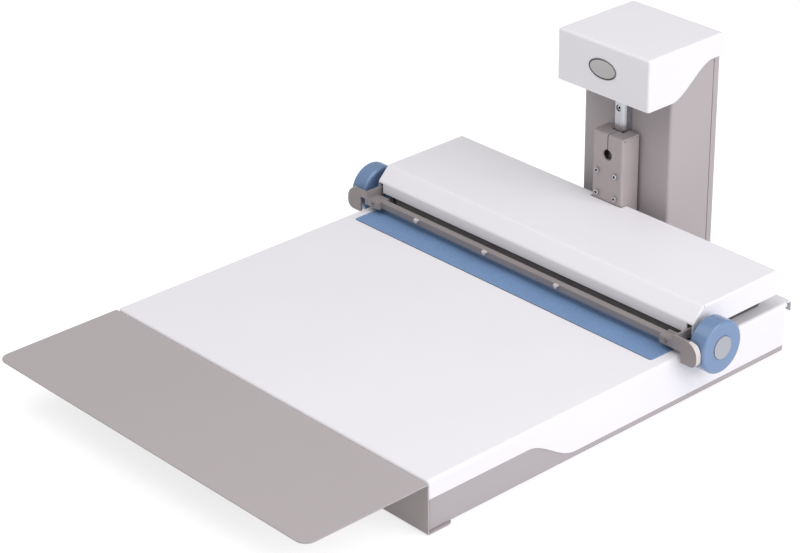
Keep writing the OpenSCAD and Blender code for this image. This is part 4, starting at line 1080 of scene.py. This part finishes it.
def make_roller():
    low, high = span("nip_roller")
    axis = axis_of("nip_roller")
    piece = rod_across("nip_roller_sleeve", axis, low.x, high.x, 7.5, 64)
    with editing(piece):
        for side in (-1, 1):
            pick("EDGE", placed(x=side * high.x))
            fold(0.8, 3)
            pick("FACE", facing(side, 0, 0))
            inset(2.4)
            inset(0.2, -0.6)
    dress(piece, "roller", ROLLER_RUBBER, "nip_roller", edge=0)
    low, high = span("cross_shaft")
    piece = rod_across("cross_shaft_bar", axis, low.x, high.x, 4, 48)
    with editing(piece):
        for side in (-1, 1):
            pick("EDGE", placed(x=side * high.x))
            fold(0.5, 2)
    dress(piece, "roller", SHAFT_STEEL, "cross_shaft", edge=0)


make_table_sheet()
make_work_mat()
make_leaf_sheet()
make_chassis_shell()
make_column_skins()
make_cover_shell()
make_hood_shell()
make_slide_bracket()
make_rail()
for side in (-1, 1):
    make_knob(side)
    make_cap(side)
    make_lever(side)
make_gauge_bar()
make_oval_plate()
make_socket_screws()
make_cover_screws()
make_feet("rubber_feet", "feet", [(x, y) for x in (-177.5, 177.5) for y in (46, 442)])
make_feet("column_rubber_feet", "column_feet", [(x, 541) for x in (-42, 42)])
make_roller()

# The rest keep their CAD shapes, with their edges broken by the width that ends each line.
ZINC, DARK = ("bright_steel", ZINC_STEEL), ("dark_steel", FRAME_COAT)
GREY, RUBBER = ("grey_paint", CHASSIS_COAT), ("black_rubber", BLACK_RUBBER)
for cad_node, body, (slot_name, finish), edge in (
        ("table_ribs", "base", GREY, 0.3),
        ("leaf_screws", "base", ZINC, 0.25),
        ("joining_plate", "base", DARK, 0.5),
        ("joining_bolts", "base", ZINC, 0.3),
        ("column_base_plate", "base", DARK, 0.5),
        ("column_spine", "base", DARK, 0.5),
        ("column_top_plate", "base", DARK, 0.5),
        ("upper_stop_bracket", "base", DARK, 0.4),
        ("upper_stop_buffer", "base", RUBBER, 0.6),
        ("lower_stop_buffers", "base", RUBBER, 0.6),
        ("rail_carriage", "head", ZINC, 0.4),
        ("cross_beam", "head", DARK, 0.4),
        ("beam_bolts", "head", ZINC, 0.3),
        ("side_frame_left", "head", DARK, 0.5),
        ("side_frame_right", "head", DARK, 0.5),
        ("frame_screws", "head", ZINC, 0.3),
        ("hood_screws", "head", ZINC, 0.3),
        ("shaft_bushes", "head", ("bronze", SINTERED_BRONZE), 0.2),
        ("pivot_pins", "head", ZINC, 0.25),
        ("knob_set_screws", "roller", ZINC, 0.15),
        ("register_fingers", "gauge", ("cast_aluminium", FINGER_FINISH_AND_RIM_HIGHLIGHT), 0.2)):
    dress(merged_copy(cad_node, cad_node + "_piece"), body, finish, cad_node, edge=edge)


# ---- Floor, light and camera ----

def make_floor():
    bpy.ops.mesh.primitive_plane_add(size=14, location=(0, 0, -0.0002))
    floor = newest("studio_floor")
    material = bpy.data.materials.new("floor_white")
    material.use_nodes = True
    tree = material.node_tree
    shader = tree.nodes["Principled BSDF"]
    shader.inputs["Base Color"].default_value = (0.5, 0.5, 0.505, 1)
    shader.inputs["Roughness"].default_value = 0.9
    shader.inputs["Specular IOR Level"].default_value = 0.1
    rays = tree.nodes.new("ShaderNodeLightPath").outputs
    seen = maths(tree, "MAXIMUM", rays["Is Camera Ray"],
                 maths(tree, "MAXIMUM", rays["Is Glossy Ray"], rays["Is Transmission Ray"]))
    glow = node(tree, "Emission", {"Color": (1, 1, 1, 1),
                                   "Strength": spread(tree, seen, 0, 1, 0.25, 0.7)})
    both = tree.nodes.new("ShaderNodeAddShader")
    tree.links.new(shader.outputs[0], both.inputs[0])
    tree.links.new(glow.outputs[0], both.inputs[1])
    tree.links.new(both.outputs[0], tree.nodes["Material Output"].inputs["Surface"])
    floor.data.materials.append(material)


def make_light(name, place, target, size, power, colour=(1, 1, 1)):
    lamp = bpy.data.lights.new(name, "AREA")
    lamp.shape = "RECTANGLE"
    lamp.size, lamp.size_y = size
    lamp.energy = power
    lamp.color = colour
    holder = bpy.data.objects.new(name, lamp)
    holder.location = place
    holder.rotation_euler = (Vector(target) - Vector(place)).to_track_quat("-Z", "Y").to_euler()
    bpy.context.scene.collection.objects.link(holder)


def make_world():
    world = bpy.data.worlds.new("studio")
    bpy.context.scene.world = world
    world.use_nodes = True
    tree = world.node_tree
    rays = tree.nodes.new("ShaderNodeLightPath").outputs
    seen = maths(tree, "MAXIMUM", rays["Is Camera Ray"], rays["Is Transmission Ray"])
    tree.nodes["Background"].inputs["Color"].default_value = (1, 1, 1, 1)
    tree.links.new(spread(tree, seen, 0, 1, 0.42, 1.0), tree.nodes["Background"].inputs["Strength"])


def make_camera():
    place = Vector((1.6639, -1.54945, 1.2726))
    yaw, pitch, roll, lens = 0.833, 0.4758, -0.0109, 117.885
    ahead = Vector((-math.sin(yaw) * math.cos(pitch), math.cos(yaw) * math.cos(pitch), -math.sin(pitch)))
    right = Vector((math.cos(yaw), math.sin(yaw), 0))
    up = right.cross(ahead)
    right, up = (right * math.cos(roll) + up * math.sin(roll), up * math.cos(roll) - right * math.sin(roll))
    camera = bpy.data.objects.new("camera", bpy.data.cameras.new("camera"))
    camera.data.lens = lens
    camera.data.sensor_width = 36
    camera.data.clip_end = 50
    camera.location = place
    camera.rotation_euler = Matrix((right, up, -ahead)).transposed().to_euler()
    bpy.context.scene.collection.objects.link(camera)
    bpy.context.scene.camera = camera


make_floor()
make_world()
make_light("key_right", (1.9, 0.5, 1.5), (0, 0, 0.1), (1.6, 1.6), 24, (0.98, 0.97, 1))
make_light("side_glow", (2.6, 0.35, 0.6), (0, 0, 0.1), (2.4, 1.2), 19, (0.96, 0.94, 1))
make_light("top_fill", (-0.2, -0.6, 2.0), (0, 0.05, 0), (2.2, 2.2), 22)
make_light("front_fill", (0.2, -2.4, 0.8), (0, 0, 0.1), (1.8, 1.2), 3.5, (1, 0.95, 0.9))
make_light("sparkle", (2.1, -0.85, 1.5), (0.24, 0.15, 0.06), (0.3, 0.3), 4)
make_camera()
bpy.context.scene.view_settings.view_transform = "Standard"
